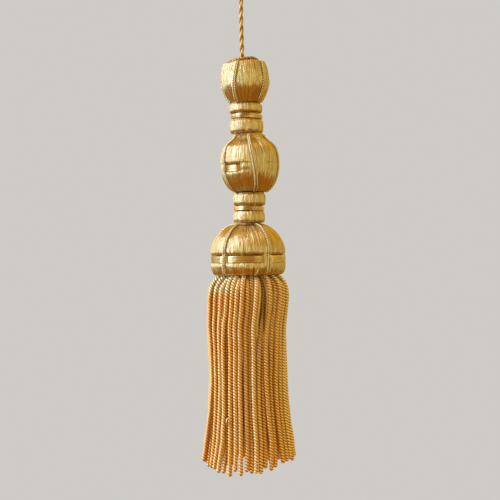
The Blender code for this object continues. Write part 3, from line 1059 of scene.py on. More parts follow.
@dataclass
class Belt:
    """Floss wound in a groove round a mould.

    Attributes:
        name: its CAD node.
        top, bottom: drops.
        outer, inner: radii.
        bare_arcs: where no upright floss crosses it.
        creased_arcs: where the floss that crosses it is drawn in at its edges.
        bare_fade, creased_fade: degrees over which those arcs fade out.
        thread: distance between turns of the wound thread.
        bedding: diameter of the thread, which beds in its fellows, as a share of that distance.
        covered_dip: how much lower it lies where upright floss crosses it.
        rounding: height of the floss's edge above and below the groove.
        rounding_depth: how far that edge goes in.
        crease, crease_width: depth of the upper crease where floss crosses it, and its half width.
        lap: how far the lowest turn reaches under the floss below it.
        sag: how much lower its edges lie than its middle.
        core_proud, core_depth: how far its plain core reaches out of the groove's floor, and its depth.
    """

    name: str
    top: float
    bottom: float
    outer: float
    inner: float
    bare_arcs: Arcs
    creased_arcs: Arcs = ((-185.0, 185.0),)
    bare_fade: float = 4.0
    creased_fade: float = 14.0
    thread: float = 0.62 * MM
    bedding: float = 1.9
    covered_dip: float = 1.1 * MM
    rounding: tuple[float, float] = (2.7 * MM, 2.4 * MM)
    rounding_depth: float = 1.2 * MM
    crease: float = 0.45 * MM
    crease_width: float = 1.1 * MM
    lap: float = 0.75 * MM
    sag: float = 0.2 * MM
    core_proud: float = 0.4 * MM
    core_depth: float = 1.2 * MM

    def within(self, azimuths: np.ndarray, arcs: Arcs, fade: float) -> np.ndarray:
        """How far azimuths in radians lie within arcs, from 0 to 1, fading over some degrees.

        Args:
            azimuths: the azimuths.
            arcs: start and end of each, in degrees.
            fade: degrees over which an arc fades out.

        Returns:
            A share for each azimuth.
        """
        degrees = (np.degrees(azimuths) + 180.0) % 360.0 - 180.0
        inside = [np.minimum(degrees - start, end - degrees) for start, end in arcs]
        return np.clip(np.max(inside, axis=0) / fade + 0.5, 0.0, 1.0)

    def floss_radius(self, radii: np.ndarray, drops: np.ndarray, azimuths: np.ndarray) -> np.ndarray:
        """Radius of the mould's upright floss near the belt.

        Args:
            radii: what it would be without the belt.
            drops: of the same points.
            azimuths: of the same points, in radians.

        Returns:
            The radii, rounded into the bare groove and creased where the floss crosses the belt.
        """
        bare = self.within(azimuths, self.bare_arcs, self.bare_fade)
        inside = np.minimum(drops - self.top + GAP, self.bottom + GAP - drops)
        held = np.clip(inside / (0.2 * MM) + 0.5, 0.0, 1.0)
        above = drops < (self.top + self.bottom) / 2
        off = np.clip(1.0 + inside / np.where(above, *self.rounding), 0.0, 1.0)
        rounded = self.rounding_depth * (1.0 - np.sqrt(1.0 - off * off))
        edge = np.where(inside < 0, rounded, self.rounding_depth)
        groove = np.maximum(edge, held * (radii - self.inner + GAP))
        drawn = 0.15 + 0.85 * self.within(azimuths, self.creased_arcs, self.creased_fade)
        creases = 0.0
        for drop, depth in ((self.top - 0.6 * MM, self.crease), (self.bottom, 0.3 * self.crease)):
            creases = creases + drawn * depth * np.exp(-(((drops - drop) / self.crease_width) ** 2))
        return radii - bare * groove - (1.0 - bare) * creases

    def build(self, mould: "Mould") -> None:
        """Wind the belt, on a plain core that no light passes.

        Args:
            mould: what it is wound on.
        """
        turns = round((self.bottom - self.top) / self.thread)
        shares, azimuths = winding(turns, 72)
        thick = self.thread * self.bedding
        wound = np.clip((shares * turns - 1.0) / (turns - 2.0), 0.0, 1.0)  # a flat turn at each edge
        drops = self.top + thick / 2 + (self.bottom + self.lap - self.top - thick) * wound
        bare = self.within(azimuths, self.bare_arcs, self.bare_fade)
        middle, half = (self.top + self.bottom) / 2, (self.bottom - self.top) / 2
        radii = self.outer - thick / 2 - self.covered_dip * (1 - bare)
        radii = radii - self.sag * ((drops - middle) / half) ** 2
        line = ring_points(azimuths, radii, mould.bottom - drops)
        make = CordMake(WOUND_THREAD, thick, 60.0 * MM, valley=0.0, rings=40.0, sides=11)
        mesh = make.lay([Strand(line, tone=0.7)])
        add_piece(self.name + "_wound", mesh, (self.name,), mould.placement())
        reach = self.inner + self.core_proud
        back = reach - self.core_depth
        core = [(back, self.top), (reach, self.top), (reach, self.bottom), (back, self.bottom)]
        mesh = mould.turned_mesh([(*point, 0.0) for point in core], 0.6 * MM, closed=True, columns=96)
        add_piece(self.name + "_core", mesh, placement=mould.placement())


@dataclass
class Mould:
    """Turned form covered with floss laid up and down. This one is a barrel.

    Attributes:
        name: its CAD node.
        top, bottom: drops.
        radius: at its widest place.
        edge: radius at its top and bottom.
        shift: sideways place of its axis.
        tilt_deg: lean of its axis.
        squareness: power of its swell, 2 for an ellipse and more for a straighter wall.
        threads: threads of floss round it.
        row_step: distance between the rows of its mesh.
        depth, group_depth: of the furrows between threads and between groups of them.
        wander: how far a thread strays sideways.
        belt: the belt in its groove, if it has one.
        seed: which noise.
        neck: radius of the neck on its top, a little more than its edge unless it is given.
        lap: how far the neck reaches up.
        hollow: drop, depth and half width of the hollow between its neck and its shoulder.
        groove_rows: where extra rows lie about a groove's edge.
    """

    name: str
    top: float
    bottom: float
    radius: float
    edge: float
    shift: float
    tilt_deg: float = 0.0
    squareness: float = 2.0
    threads: int = 84
    row_step: float = 1.0 * MM
    depth: float = 0.3 * MM
    group_depth: float = 0.5 * MM
    wander: float = 1.0 * MM
    belt: Belt | None = None
    seed: float = 0.0
    neck: float = 0.0
    lap: float = 0.45 * MM
    hollow: tuple[float, float, float] = (0.0, 0.0, 1.0 * MM)
    groove_rows: tuple[float, ...] = (-1.5, -1.0, -0.6, -0.3, -0.1, 0.1, 0.3, 0.6, 1.0, 1.5)  # in millimetres

    def swell(self, drop: float, middle: float, half: float, edge: float) -> float:
        """Radius of a form that swells from an edge to its widest place."""
        off = min(1.0, abs(drop - middle) / half)
        return edge + (self.radius - edge) * math.sqrt(1.0 - off**self.squareness)

    def radius_at(self, drop: float) -> float:
        """Radius of the form at one drop.

        Args:
            drop: where.

        Returns:
            The radius.
        """
        middle, half = (self.top + self.bottom) / 2, (self.bottom - self.top) / 2
        centre, depth, width = self.hollow
        return self.swell(drop, middle, half, self.edge) - depth * math.exp(-(((drop - centre) / width) ** 2))

    def body(self) -> Outline:
        """Outline of the swelling part, closest together at its ends.

        Returns:
            Radius, drop and cover of its points, from the top down.
        """
        shares = [(1 - math.cos(math.pi * i / 400)) / 2 for i in range(401)]
        drops = [self.top + (self.bottom - self.top) * share for share in shares]
        return [(self.radius_at(drop), drop, 1.0) for drop in drops]

    def crown(self) -> Outline:
        """Outline of the top, with a short neck that reaches into the form above.

        Returns:
            Radius, drop and cover of its points, down to the body's last.
        """
        neck, high = self.neck or self.edge + 0.3 * MM, self.top - self.lap
        body = self.body()
        first = next(i for i, point in enumerate(body) if point[0] > neck)
        return [(0.0, high, 0.0), (neck, high, 0.0), (neck, body[first][1], 0.0), *body[first:]]

    def outline(self) -> Outline:
        """Whole outline, from the axis at the top to the axis at the bottom."""
        return [*self.crown(), (self.edge - 0.1 * MM, self.bottom, 0.0), (0.0, self.bottom, 0.0)]

    def placement(self) -> Matrix:
        """From the form's own frame, its foot on its axis, to the row frame."""
        spot = Matrix.Translation((self.shift, 0.0, STACK_TOP_Z - self.bottom))
        return spot @ Matrix.Rotation(math.radians(self.tilt_deg), 4, "Y")

    def rows(self, outline: Outline, step: float, closed: bool) -> np.ndarray:
        """Rows about a step apart along an outline, closer at a groove's edges.

        Args:
            outline: radius, drop and cover of its points.
            step: distance between rows.
            closed: whether the outline closes on itself.

        Returns:
            Radius, drop and cover of each row.
        """
        line = np.array([*outline, outline[0]] if closed else outline)
        run = run_along(line[:, :2])
        goals = np.linspace(0.0, run[-1], max(4, round(run[-1] / step)) + 1)
        if self.belt and not closed:
            near = np.array(self.groove_rows) * MM
            for edge in (self.belt.top - GAP, self.belt.bottom + GAP):
                outside = line[:, 0] > 0.8 * self.radius
                nearest = run[outside][np.argmin(abs(line[outside, 1] - edge))]
                clear = goals[abs(goals - nearest) > near[-1] + 0.2 * MM]
                goals = np.concatenate((clear, nearest + near))
            goals = np.sort(goals)
        goals = goals[:-1] if closed else goals
        return np.column_stack([np.interp(goals, run, column) for column in line.T])

    def turned_mesh(
        self, outline: Outline, step: float, closed: bool = False, columns: int = 0
    ) -> bpy.types.Mesh:
        """Turn an outline about the axis and raise the floss on it.

        Args:
            outline: an open one starts and ends on the axis.
            step: distance between rows.
            closed: whether the outline closes on itself.
            columns: points in a row, four to a thread unless they are given.

        Returns:
            The mesh in the form's own frame.
        """
        count = columns or 4 * self.threads
        rows = self.rows(outline, step, closed)
        body = rows if closed else rows[1:-1]
        turned = np.tile(np.linspace(0.0, TURN, count, endpoint=False), len(body))
        radii, drops, cover = np.repeat(body, count, axis=0).T
        if self.belt and not closed:
            radii = np.minimum(radii, self.belt.floss_radius(radii, drops, turned))
        points = ring_points(turned, radii, self.bottom - drops)
        around, along = turned / TURN, np.repeat(run_along(body[:, :2]) / MM, count)
        grid = np.arange(len(body) * count).reshape(len(body), count)
        upper, lower = (grid, np.roll(grid, -1, axis=0)) if closed else (grid[:-1], grid[1:])
        faces = np.stack((upper, lower, np.roll(lower, -1, axis=1), np.roll(upper, -1, axis=1)), axis=-1)
        faces = faces.reshape(-1, 4).tolist()
        if not closed:
            poles = [(0.0, 0.0, self.bottom - rows[end, 1]) for end in (0, -1)]
            top, bottom = len(points), len(points) + 1
            points = np.vstack((points, poles))
            around, cover = np.append(around, (0.0, 0.0)), np.append(cover, (0.0, 0.0))
            along = np.append(along, along[[0, -1]])
            first, last = grid[0].tolist(), grid[-1].tolist()
            faces += [[top, one, other] for one, other in zip(first, first[1:] + first[:1])]
            faces += [[bottom, other, one] for one, other in zip(last, last[1:] + last[:1])]
        mesh = bpy.data.meshes.new(self.name)
        mesh.from_pydata(points.tolist(), [], faces)
        values = {"around": around, "along": along, "cover": cover, "tone": np.full(len(points), 0.5)}
        for name, numbers in values.items():
            write_points(mesh, name, numbers)
        sizes = {
            "Threads": float(self.threads),
            "Depth": self.depth,
            "Group Depth": self.group_depth,
            "Wander": self.wander,
            "Seed": self.seed,
            "Finish": floss_finish(f"{self.name}_floss", self.threads).material(),
        }
        return grow(mesh, relief_tree(), sizes)

    def over_surface(
        self,
        drops: tuple[float, float],
        azimuths: tuple[float, float],
        lift: float,
        aside: float,
        tuck: tuple[float, float],
    ) -> np.ndarray:
        """Line over the form's surface, in the form's own frame.

        Args:
            drops: of the line's ends.
            azimuths: of its ends, in radians.
            lift: how far it lies off the surface.
            aside: how far it lies to one side of its azimuth.
            tuck: how far its ends sink, and over what length.

        Returns:
            Points about a millimetre apart.
        """
        line = np.array([point[:2] for point in self.body() if drops[0] <= point[1] <= drops[1]])
        line = respaced(line, 0.9 * MM)
        shares = (line[:, 1] - drops[0]) / (drops[1] - drops[0])
        turned = azimuths[0] + (azimuths[1] - azimuths[0]) * shares
        if self.belt:
            line[:, 0] = np.minimum(line[:, 0], self.belt.floss_radius(line[:, 0], line[:, 1], turned))
        heights = self.bottom - line[:, 1]
        slope = np.gradient(np.column_stack((line[:, 0], heights)), axis=0)
        normals = np.column_stack((-slope[:, 1], slope[:, 0]))
        normals /= np.linalg.norm(normals, axis=1)[:, None]
        run = run_along(line)
        near_end = np.clip(1.0 - np.minimum(run, run[-1] - run) / tuck[1], 0.0, 1.0)
        off = (lift - tuck[0] * near_end**2)[:, None] * normals
        points = ring_points(turned, line[:, 0] + off[:, 0], heights + off[:, 1])
        points[:, 0] += aside * np.cos(turned)
        points[:, 1] += aside * np.sin(turned)
        return points

    def build(self) -> None:
        """Make the covered form."""
        mesh = self.turned_mesh(self.outline(), self.row_step)
        add_piece(self.name + "_floss", mesh, (self.name,), self.placement())
        if self.belt:
            self.belt.build(self)


@dataclass
class Bulb(Mould):
    """Top mould: round shoulders, a long taper, and the hole that the cord comes out of.

    Attributes:
        widest_drop: where it is widest.
        foot: radius at its bottom.
        hole_radius, hole_depth: of the cord's hole.
        lip_drop, lip: drop of the hole's edge, and how far it is cut back.
        seat_radius, seat_drop: of the trough in which the crown ring lies.
        rim_drop: where the shoulder starts.
    """

    widest_drop: float = 16.5 * MM
    foot: float = 10.2 * MM
    hole_radius: float = 4.6 * MM
    hole_depth: float = 2.8 * MM
    lip_drop: float = 2.2 * MM
    lip: float = 0.5 * MM
    seat_radius: tuple[float, float] = (7.4 * MM, 9.4 * MM)
    seat_drop: float = 3.4 * MM
    rim_drop: float = 3.5 * MM

    def radius_at(self, drop: float) -> float:
        """Radius of the bulb at one drop.

        Args:
            drop: where.

        Returns:
            The radius.
        """
        if drop < self.widest_drop:
            return self.swell(drop, self.widest_drop, self.widest_drop - self.top, self.edge)
        share = (drop - self.widest_drop) / (self.bottom - self.widest_drop)
        return self.foot + (self.radius - self.foot) * math.cos(share * math.pi / 2)

    def outline(self) -> Outline:
        """Outline from the hole's floor over the shoulders to the foot.

        Returns:
            Radius, drop and cover of its points.
        """
        floor, hole, edge = self.top + self.hole_depth, self.hole_radius, self.hole_radius + self.lip
        inside = [(0.0, floor), (hole, floor), (hole, self.lip_drop + self.lip), (edge, self.lip_drop)]
        seat = [(self.seat_radius[0], self.seat_drop, 0.0), (self.seat_radius[1], self.seat_drop, 1.0)]
        shoulder = [point for point in self.body() if point[1] > self.rim_drop]
        foot = [(self.foot - 0.1 * MM, self.bottom, 0.0), (0.0, self.bottom, 0.0)]
        return [*((*point, 0.0) for point in inside), *seat, *shoulder, *foot]


@dataclass
class Dome(Mould):
    """Bottom mould: half-round top, straight wall, rolled rim, recessed for the skirt.

    Attributes:
        widest_drop: where the wall starts.
        roll_drop: where the rim starts to roll in.
        rim: radius at the bottom of the roll.
        recess_radius, recess_depth: of the hollow under it.
    """

    widest_drop: float = 128.0 * MM
    roll_drop: float = 135.5 * MM
    rim: float = 21.8 * MM
    recess_radius: float = 20.7 * MM
    recess_depth: float = 6.0 * MM

    def radius_at(self, drop: float) -> float:
        """Radius of the dome at one drop.

        Args:
            drop: where.

        Returns:
            The radius.
        """
        if drop < self.widest_drop:
            return self.swell(drop, self.widest_drop, self.widest_drop - self.top, self.edge)
        if drop < self.roll_drop:
            return self.radius
        return self.swell(drop, self.roll_drop, self.bottom - self.roll_drop, self.rim)

    def outline(self) -> Outline:
        """Outline from the top over the roll into the recess.

        Returns:
            Radius, drop and cover of its points.
        """
        ceiling = self.bottom - self.recess_depth
        inside = [(self.recess_radius, self.bottom), (self.recess_radius, ceiling), (0.0, ceiling)]
        return [*self.crown(), *((*point, 0.0) for point in inside)]


@dataclass
class Tie(Mould):
    """Short neck wound round with thread between two collars.

    Attributes:
        thread: distance between turns of the wound thread.
        bedding: diameter of the thread as a share of that distance.
        stray: how far a turn lies off its level.
    """

    thread: float = 0.9 * MM
    bedding: float = 1.15
    stray: float = 0.34 * MM

    def build(self) -> None:
        """Wind the tie over a plain core."""
        shares, azimuths = winding(round((self.bottom - self.top) / self.thread), 60)
        drops = self.top + self.thread / 2 + (self.bottom - self.top - self.thread) * shares
        waves = np.sin(azimuths - 0.8) + 0.5 * np.sin(2.7 * azimuths + 1.0)
        drops = np.clip(drops + self.stray * waves * np.sin(math.pi * shares), self.top, self.bottom)
        radii = np.array([self.radius_at(drop) for drop in drops]) - self.thread / 2
        line = ring_points(azimuths, radii, self.bottom - drops)
        thick = self.thread * self.bedding
        make = CordMake(WOUND_THREAD, thick, 40.0 * MM, valley=0.0, rings=50.0, sides=8, unevenness=0.4)
        wound = make.lay([Strand(line, tone=0.6)])
        add_piece(self.name + "_wound", wound, (self.name,), self.placement())
        core = [(radius - 0.8 * self.thread, drop, 1.0) for radius, drop, _ in self.body()]
        high = self.top - self.lap
        outline = [(0.0, high, 0.0), (core[0][0], high, 0.0), *core, (0.0, self.bottom, 0.0)]
        mesh = self.turned_mesh(outline, self.row_step)
        add_piece(self.name + "_core", mesh, placement=self.placement())


@dataclass
class Gimp:
    """Runs of two fine cords laid side by side over a mould, top to bottom.

    Attributes:
        name: start of the CAD nodes' names.
        mould: what they are laid over.
        runs_deg: azimuth at the mould's middle, and turn from top to bottom, of each run.
        top, bottom: drops of its ends.
        make: how a cord is twisted.
        spacing: sideways distance between the two.
        lift: how far their middles lie off the mould.
        tuck: how deep the ends are tucked in, and over what length.
    """

    name: str
    mould: Mould
    runs_deg: tuple[tuple[float, float], ...]
    top: float
    bottom: float
    make: CordMake = CordMake(
        GIMP_CORD, 1.3 * MM, 3.3 * MM, valley=0.62, rings=10.0, sides=10, rounding=0.6 * MM
    )
    spacing: float = 1.2 * MM
    lift: float = 0.2 * MM
    tuck: tuple[float, float] = (0.9 * MM, 2.0 * MM)

    def build(self) -> None:
        """Lay the runs on their mould."""
        for number, (middle, turn) in enumerate(self.runs_deg, start=1):
            centre, half = math.radians(middle), math.radians(turn) / 2
            ends = (centre - half, centre + half)
            strands = []
            for side, hand in ((-1, Hand.S), (1, Hand.Z)):
                aside = side * self.spacing / 2
                line = self.mould.over_surface((self.top, self.bottom), ends, self.lift, aside, self.tuck)
                strands.append(Strand(line, hand=hand, tone=0.85, phase=1.1 * number * side))
            node = f"{self.name}_{number}"
            add_piece(node + "_cords", self.make.lay(strands), (node,), self.mould.placement())


@dataclass
class CrownRing:
    """Uneven twisted cord laid round the cord's hole, on top of the bulb.

    Attributes:
        make: how it is twisted.
        radius: of its middle line.
        turns: how often it goes round.
        first_azimuth_deg: where its first end shows as a knob.
        hump_azimuth_deg, hump_width_deg: where it stands up and leaves a small gap under it.
        overlap_in: how far its second turn lies inside its first.
        knob, hump: how far its first end and its hump stand up.
        tail_sink: how far its last end goes down.
    """

    make: CordMake = CordMake(
        HANGING, 2.3 * MM, 5.0 * MM, valley=0.45, rings=12.0, sides=16, rounding=1.2 * MM, unevenness=0.5
    )
    radius: float = 8.8 * MM
    turns: float = 1.3
    first_azimuth_deg: float = 78.0
    hump_azimuth_deg: float = 40.0
    hump_width_deg: float = 13.0
    overlap_in: float = 2.0 * MM
    knob: float = 0.5 * MM
    hump: float = 0.6 * MM
    tail_sink: float = 1.2 * MM

    def build(self, bulb: Bulb) -> None:
        """Lay the ring, its free ends tucked in.

        Args:
            bulb: the mould it lies on.
        """
        shares = np.linspace(0.0, 1.0, 64)
        azimuths = math.radians(self.first_azimuth_deg) + TURN * self.turns * shares
        lap = np.clip((shares * self.turns - 1.0) * 6, 0.0, 1.0)
        radii = self.radius - self.overlap_in * lap + 0.35 * MM * np.sin(3 * azimuths + 1.0)
        off_hump = np.degrees(azimuths - math.radians(self.hump_azimuth_deg))
        off_hump = ((off_hump + 180.0) % 360.0 - 180.0) / self.hump_width_deg
        rise = 0.48 * self.make.diameter + 0.25 * MM * np.sin(2 * azimuths + 2.2)
        rise = rise + self.hump * np.exp(-(off_hump**2)) + self.knob * np.clip(1.0 - shares / 0.05, 0, 1)
        rise = rise - self.tail_sink * np.clip(shares - 0.95, 0, 1) / 0.05
        line = ring_points(azimuths, radii, bulb.bottom - bulb.seat_drop + rise)
        mesh = self.make.lay([Strand(line, hand=Hand.Z)])
        add_piece("crown_ring_cord", mesh, ("top_cord_ring",), bulb.placement())


@dataclass
class StrayThreads:
    """Single threads of floss that have come loose and stand a little off the tassel's front.

    Attributes:
        on_moulds: for each mould, the threads on it, as columns and rows of the frame.
        make: how a thread is made.
        lift: how far their middles lie off the mould.
    """

    on_moulds: tuple[tuple[Mould, tuple[tuple[tuple[float, float], ...], ...]], ...]
    make: CordMake = CordMake(
        WOUND_THREAD, 0.42 * MM, 40.0 * MM, valley=0.0, rings=60.0, sides=7, rounding=0.3 * MM
    )
    lift: float = 0.35 * MM

    def spot(self, mould: Mould, column: float, row: float) -> tuple[float, float, float]:
        """Place on a mould's front where the frame shows a column and row.

        Args:
            mould: the mould.
            column, row: the pixel.

        Returns:
            The x, y and z.
        """

        def radius_at(drop: float) -> float:
            """Distance of a thread's middle from the mould's axis at a drop."""
            return mould.radius_at(min(max(drop, mould.top), mould.bottom)) + self.lift

        across, y, drop = PICTURE.on_form(column, row, radius_at, lambda drop: mould.shift)
        return mould.shift + across, y, STACK_TOP_Z - drop

    def build(self, others: list[Strand]) -> None:
        """Lay the stray threads, and others that are thread but stand off something else.

        Args:
            others: those others.
        """
        strands = [*others]
        for mould, lines in self.on_moulds:
            for line in lines:
                route = np.array([self.spot(mould, column, row) for column, row in line])
                strands.append(Strand(smooth_route(route, 0.8 * MM), tone=1.0))
        add_piece("stray_floss_threads", self.make.lay(strands))


# --- skirt


@dataclass(frozen=True)
class FrontStrand:
    """A strand of the skirt's front as the photograph's frame shows it.

    Attributes:
        columns: where it crosses the rows of Skirt.chart_rows, in pixels.
        end_column, end_row: where it ends.
        tuck: how far it lies behind the skirt's face, in strand diameters.
        hollow: how much further back it lies near its top.
    """

    columns: tuple[float, ...]
    end_column: float
    end_row: float
    tuck: float = 0.0
    hollow: float = 0.0


FRONT_STRANDS = (
    FrontStrand((210.1, 211.7, 212.7, 210.4, 206.7), 201.8, 461.4),
    FrontStrand((212.5, 213.8, 214.6, 213.2, 209.9), 206.0, 466.8, 1.0),
    FrontStrand((215.1, 215.6, 216.4, 215.9, 214.4), 211.3, 468.1),
    FrontStrand((220.6, 219.8, 220.8, 219.8, 218.1), 214.2, 469.4),
    FrontStrand((226.2, 223.1, 223.8, 224.1, 222.8), 218.6, 472.8),
    FrontStrand((228.0, 226.8, 226.6, 226.8, 226.5), 223.0, 473.5, 1.0),
    FrontStrand((231.5, 231.2, 230.5, 230.5, 230.3), 229.8, 476.8),
    FrontStrand((236.0, 235.2, 235.3, 236.0, 236.3), 235.2, 471.8),
    FrontStrand((241.3, 239.6, 239.4, 240.2, 240.6), 241.0, 476.1),
    FrontStrand((247.6, 245.6, 246.0, 246.9, 247.6), 247.9, 472.1, 0.6),
    FrontStrand((250.5, 249.5, 249.8, 250.3, 251.6), 251.3, 473.8, 1.0),
    FrontStrand((255.0, 253.6, 253.7, 254.6, 256.4), 257.3, 473.4),
    FrontStrand((262.2, 258.6, 258.3, 259.2, 261.0), 261.0, 474.0, 0.5, 2.5),
    FrontStrand((265.6, 262.2, 262.6, 263.8, 264.6), 264.2, 468.8, 0.9, 2.2),
    FrontStrand((269.6, 265.8, 266.4, 268.6, 271.4), 271.4, 470.8),
    FrontStrand((274.7, 271.3, 270.8, 272.4, 274.4), 275.4, 467.4, 0.8),
    FrontStrand((278.7, 276.0, 275.4, 277.4, 280.7), 283.4, 463.4),
    FrontStrand((282.0, 279.5, 279.6, 281.6, 284.8), 287.2, 461.4, 0.4),
    FrontStrand((285.4, 283.0, 283.2, 284.8, 288.4), 290.6, 459.0),
    FrontStrand((287.0, 286.0, 286.4, 287.6, 292.0), 294.2, 456.0),
)


@dataclass
class Skirt:
    """Bullion skirt: twisted cords in three rows under a wound header.

    Attributes:
        make: how a strand is twisted.
        outer, middle, inner: strands in each row.
        middle_share, inner_share: distance of those rows from the axis, as shares of the outer's.
        chart_rows: rows of the frame at which the front strands were read.
        hollow_shares: share of a strand's hollow at those rows.
        sections: drop, outer radius and sideways drift of the skirt, a row each.
        levels: drops at which the strands are kept apart.
        header_radius, header_drops: of the header in the dome's recess, its top and its bottom.
        usual_end: drop of a usual end.
        pale_end: drop down to which a painted highlight makes the strands paler, in front at the left.
        painted_sheen_gain, usual_tone: how much paler that painted highlight makes them, and how pale a usual
            strand is.
        left_painted_shade, right_painted_light: painted shade that the tone loses to the left, and painted
            light that it gains to the right.
        even_drops: where that painted difference starts to fade, and over what length.
        snag_spot: column and row of the frame at which a ply has been pulled out into a loop.
        snag_size: half the loop's width and half its height.
        rounds, smoothed: steps in which strands are pushed apart, and those that are evened out.
        seed: for everything random.
    """

    make: CordMake = CordMake(
        BULLION, 3.3 * MM, 3.74 * MM, valley=0.42, rings=9.0, sides=12, rounding=1.7 * MM, unevenness=0.1
    )
    outer: int = 44
    middle: int = 30
    inner: int = 20
    middle_share: float = 0.68
    inner_share: float = 0.34
    chart_rows: tuple[float, ...] = (310.0, 350.0, 385.0, 415.0, 442.0)
    hollow_shares: tuple[float, ...] = (1.0, 0.25, 0.0, 0.0, 0.0)
    sections: np.ndarray = field(
        default_factory=lambda: MM
        * np.array((
            (138.5, 19.6, 1.1),
            (141.0, 19.9, 1.1),
            (143.6, 20.1, 1.1),
            (146.4, 23.2, 1.0),
            (151.0, 25.6, 0.9),
            (158.0, 26.6, 0.7),
            (176.0, 25.8, -0.7),
            (210.0, 25.2, 0.1),
            (241.0, 27.8, 0.1),
            (254.0, 30.2, 0.1),
            (266.0, 31.0, -0.2),
            (278.0, 31.6, -0.2),
        ))
    )
    levels: np.ndarray = field(
        default_factory=lambda: MM
        * np.array((
            *(138.5, 141, 143.6, 146.4, 151, 157, 166, 176, 188, 200),
            *(211, 222, 232, 241, 249, 256, 263, 270, 277),
        ))
    )
    header_radius: float = 20.2 * MM
    header_drops: tuple[float, float] = (137.5 * MM, 142.3 * MM)
    usual_end: float = 265.0 * MM
    pale_end: float = 156.0 * MM
    painted_sheen_gain: float = 1.6
    usual_tone: float = 0.31
    left_painted_shade: float = 0.34
    right_painted_light: float = 0.46
    even_drops: tuple[float, float] = (195.0 * MM, 40.0 * MM)
    snag_spot: tuple[float, float] = (228.3, 421.4)
    snag_size: tuple[float, float] = (1.1 * MM, 2.2 * MM)
    rounds: int = 60
    smoothed: int = 50
    seed: int = 7

    def reach(self, drops: np.ndarray) -> np.ndarray:
        """Radius of the outer row's centrelines at drops."""
        return np.interp(drops, self.sections[:, 0], self.sections[:, 1]) - self.make.diameter / 2

    def drift(self, drops: np.ndarray) -> np.ndarray:
        """Sideways place of the skirt's middle at drops."""
        return np.interp(drops, self.sections[:, 0], self.sections[:, 2])

    def near_top(self) -> np.ndarray:
        """How near the levels lie to the header, from 0 to 1."""
        return np.clip((150 * MM - self.levels) / (6 * MM), 0.0, 1.0)

    def charted(self, column: float, row: float, tuck: float) -> tuple[float, float, float]:
        """Place of a front strand, so many diameters behind the face, from where the frame shows it."""
        behind = tuck * self.make.diameter
        return PICTURE.on_form(
            column, row, lambda drop: float(self.reach(drop)) - behind, self.drift, rounds=4
        )

    def front_plan(self, strand: FrontStrand, tucked: bool) -> tuple[np.ndarray, float]:
        """Where a front strand hangs: x and y at the levels, and its end's drop.

        Args:
            strand: as the frame shows it.
            tucked: whether its top lies further back.

        Returns:
            Those x and y, one level in each row, and that drop.
        """
        tucks = [strand.tuck + strand.hollow * share for share in self.hollow_shares]
        spots = [self.charted(*place) for place in zip(strand.columns, self.chart_rows, tucks)]
        spots.append(self.charted(strand.end_column, strand.end_row, 0.3 * strand.tuck))
        across, depth, drops = np.array(spots).T
        x, y = np.interp(self.levels, drops, across), np.interp(self.levels, drops, depth)
        start = np.hypot(across[0], depth[0])
        upper = self.reach(self.levels) - tucks[0] * self.make.diameter
        narrow = np.where(self.levels < drops[0], upper, start) / start
        narrow = narrow - tucked * 0.9 * self.make.diameter / start * self.near_top()
        return np.column_stack((x * narrow, y * narrow)), float(drops[-1])

    def plan(self) -> tuple[np.ndarray, np.ndarray]:
        """Where each strand would hang if it were alone.

        Returns:
            The x and y of each strand at each level, from the skirt's middle, and end drops.
        """
        rng = np.random.default_rng(self.seed)
        reach = self.reach(self.levels)
        planned = [self.front_plan(strand, bool(number % 2)) for number, strand in enumerate(FRONT_STRANDS)]
        spots, ends = [spot for spot, _ in planned], [end for _, end in planned]

        def hang(azimuths: np.ndarray, radii: np.ndarray, shortest: float) -> None:
            """Add a strand that the frame doesn't show.

            Args:
                azimuths, radii: where it hangs at the levels.
                shortest: millimetres by which its end may differ from the usual, downwards.
            """
            sway = 0.06 * rng.normal() * np.sin(self.levels / (42 * MM) + rng.uniform(0, TURN))
            turned = azimuths + sway
            spots.append(np.column_stack((radii * np.sin(turned), -radii * np.cos(turned))))
            ends.append(self.usual_end + rng.uniform(shortest, 4) * MM)

        free = self.outer - len(FRONT_STRANDS)
        right, left = (np.arctan2(spots[k][:, 0], -spots[k][:, 1]) for k in (-1, 0))
        for number in range(free):
            back = (number % 2) * 0.9 * self.near_top() + 0.35 * rng.random()
            azimuths = right + (left + TURN - right) * (number + 1) / (free + 1)
            hang(azimuths, reach - back * self.make.diameter, -6)
        for count, share in ((self.middle, self.middle_share), (self.inner, self.inner_share)):
            for number in range(count):
                start = TURN * (number + 0.5 * rng.random()) / count
                hang(start + 0 * reach, share * (1 + 0.12 * rng.normal()) * reach, -9)
        return np.array(spots), np.array(ends)

    def settle(self, spots: np.ndarray, freedom: np.ndarray, limit: np.ndarray) -> np.ndarray:
        """Push strands apart where they would lie in each other.

        Args:
            spots: x and y of each strand at each level, from the skirt's middle.
            freedom: how easily each strand gives way.
            limit: furthest distance from the middle at each level.

        Returns:
            The new x and y.
        """
        spacing = 0.97 * self.make.diameter
        planned = spots.copy()
        for step in range(self.rounds):
            for level in range(spots.shape[1]):
                here = spots[:, level]
                gaps = here[:, None] - here[None]
                apart = np.maximum(np.hypot(gaps[..., 0], gaps[..., 1]), 0.01 * MM)
                np.fill_diagonal(apart, 1.0)
                near = np.clip(spacing - apart, 0.0, None)
                shares = freedom[:, None] / (freedom[:, None] + freedom[None])
                here = here + 0.8 * (gaps / apart[..., None] * (near * shares)[..., None]).sum(axis=1)
                out = np.hypot(here[:, 0], here[:, 1])
                spots[:, level] = here * np.minimum(1.0, limit[level] / np.maximum(out, MM))[:, None]
            if step < self.smoothed:
                shift = spots - planned
                smooth = shift.copy()
                smooth[:, 1:-1] = 0.2 * shift[:, :-2] + 0.6 * shift[:, 1:-1] + 0.2 * shift[:, 2:]
                spots = spots + 0.5 * freedom[:, None, None] * (smooth - shift)
        return spots

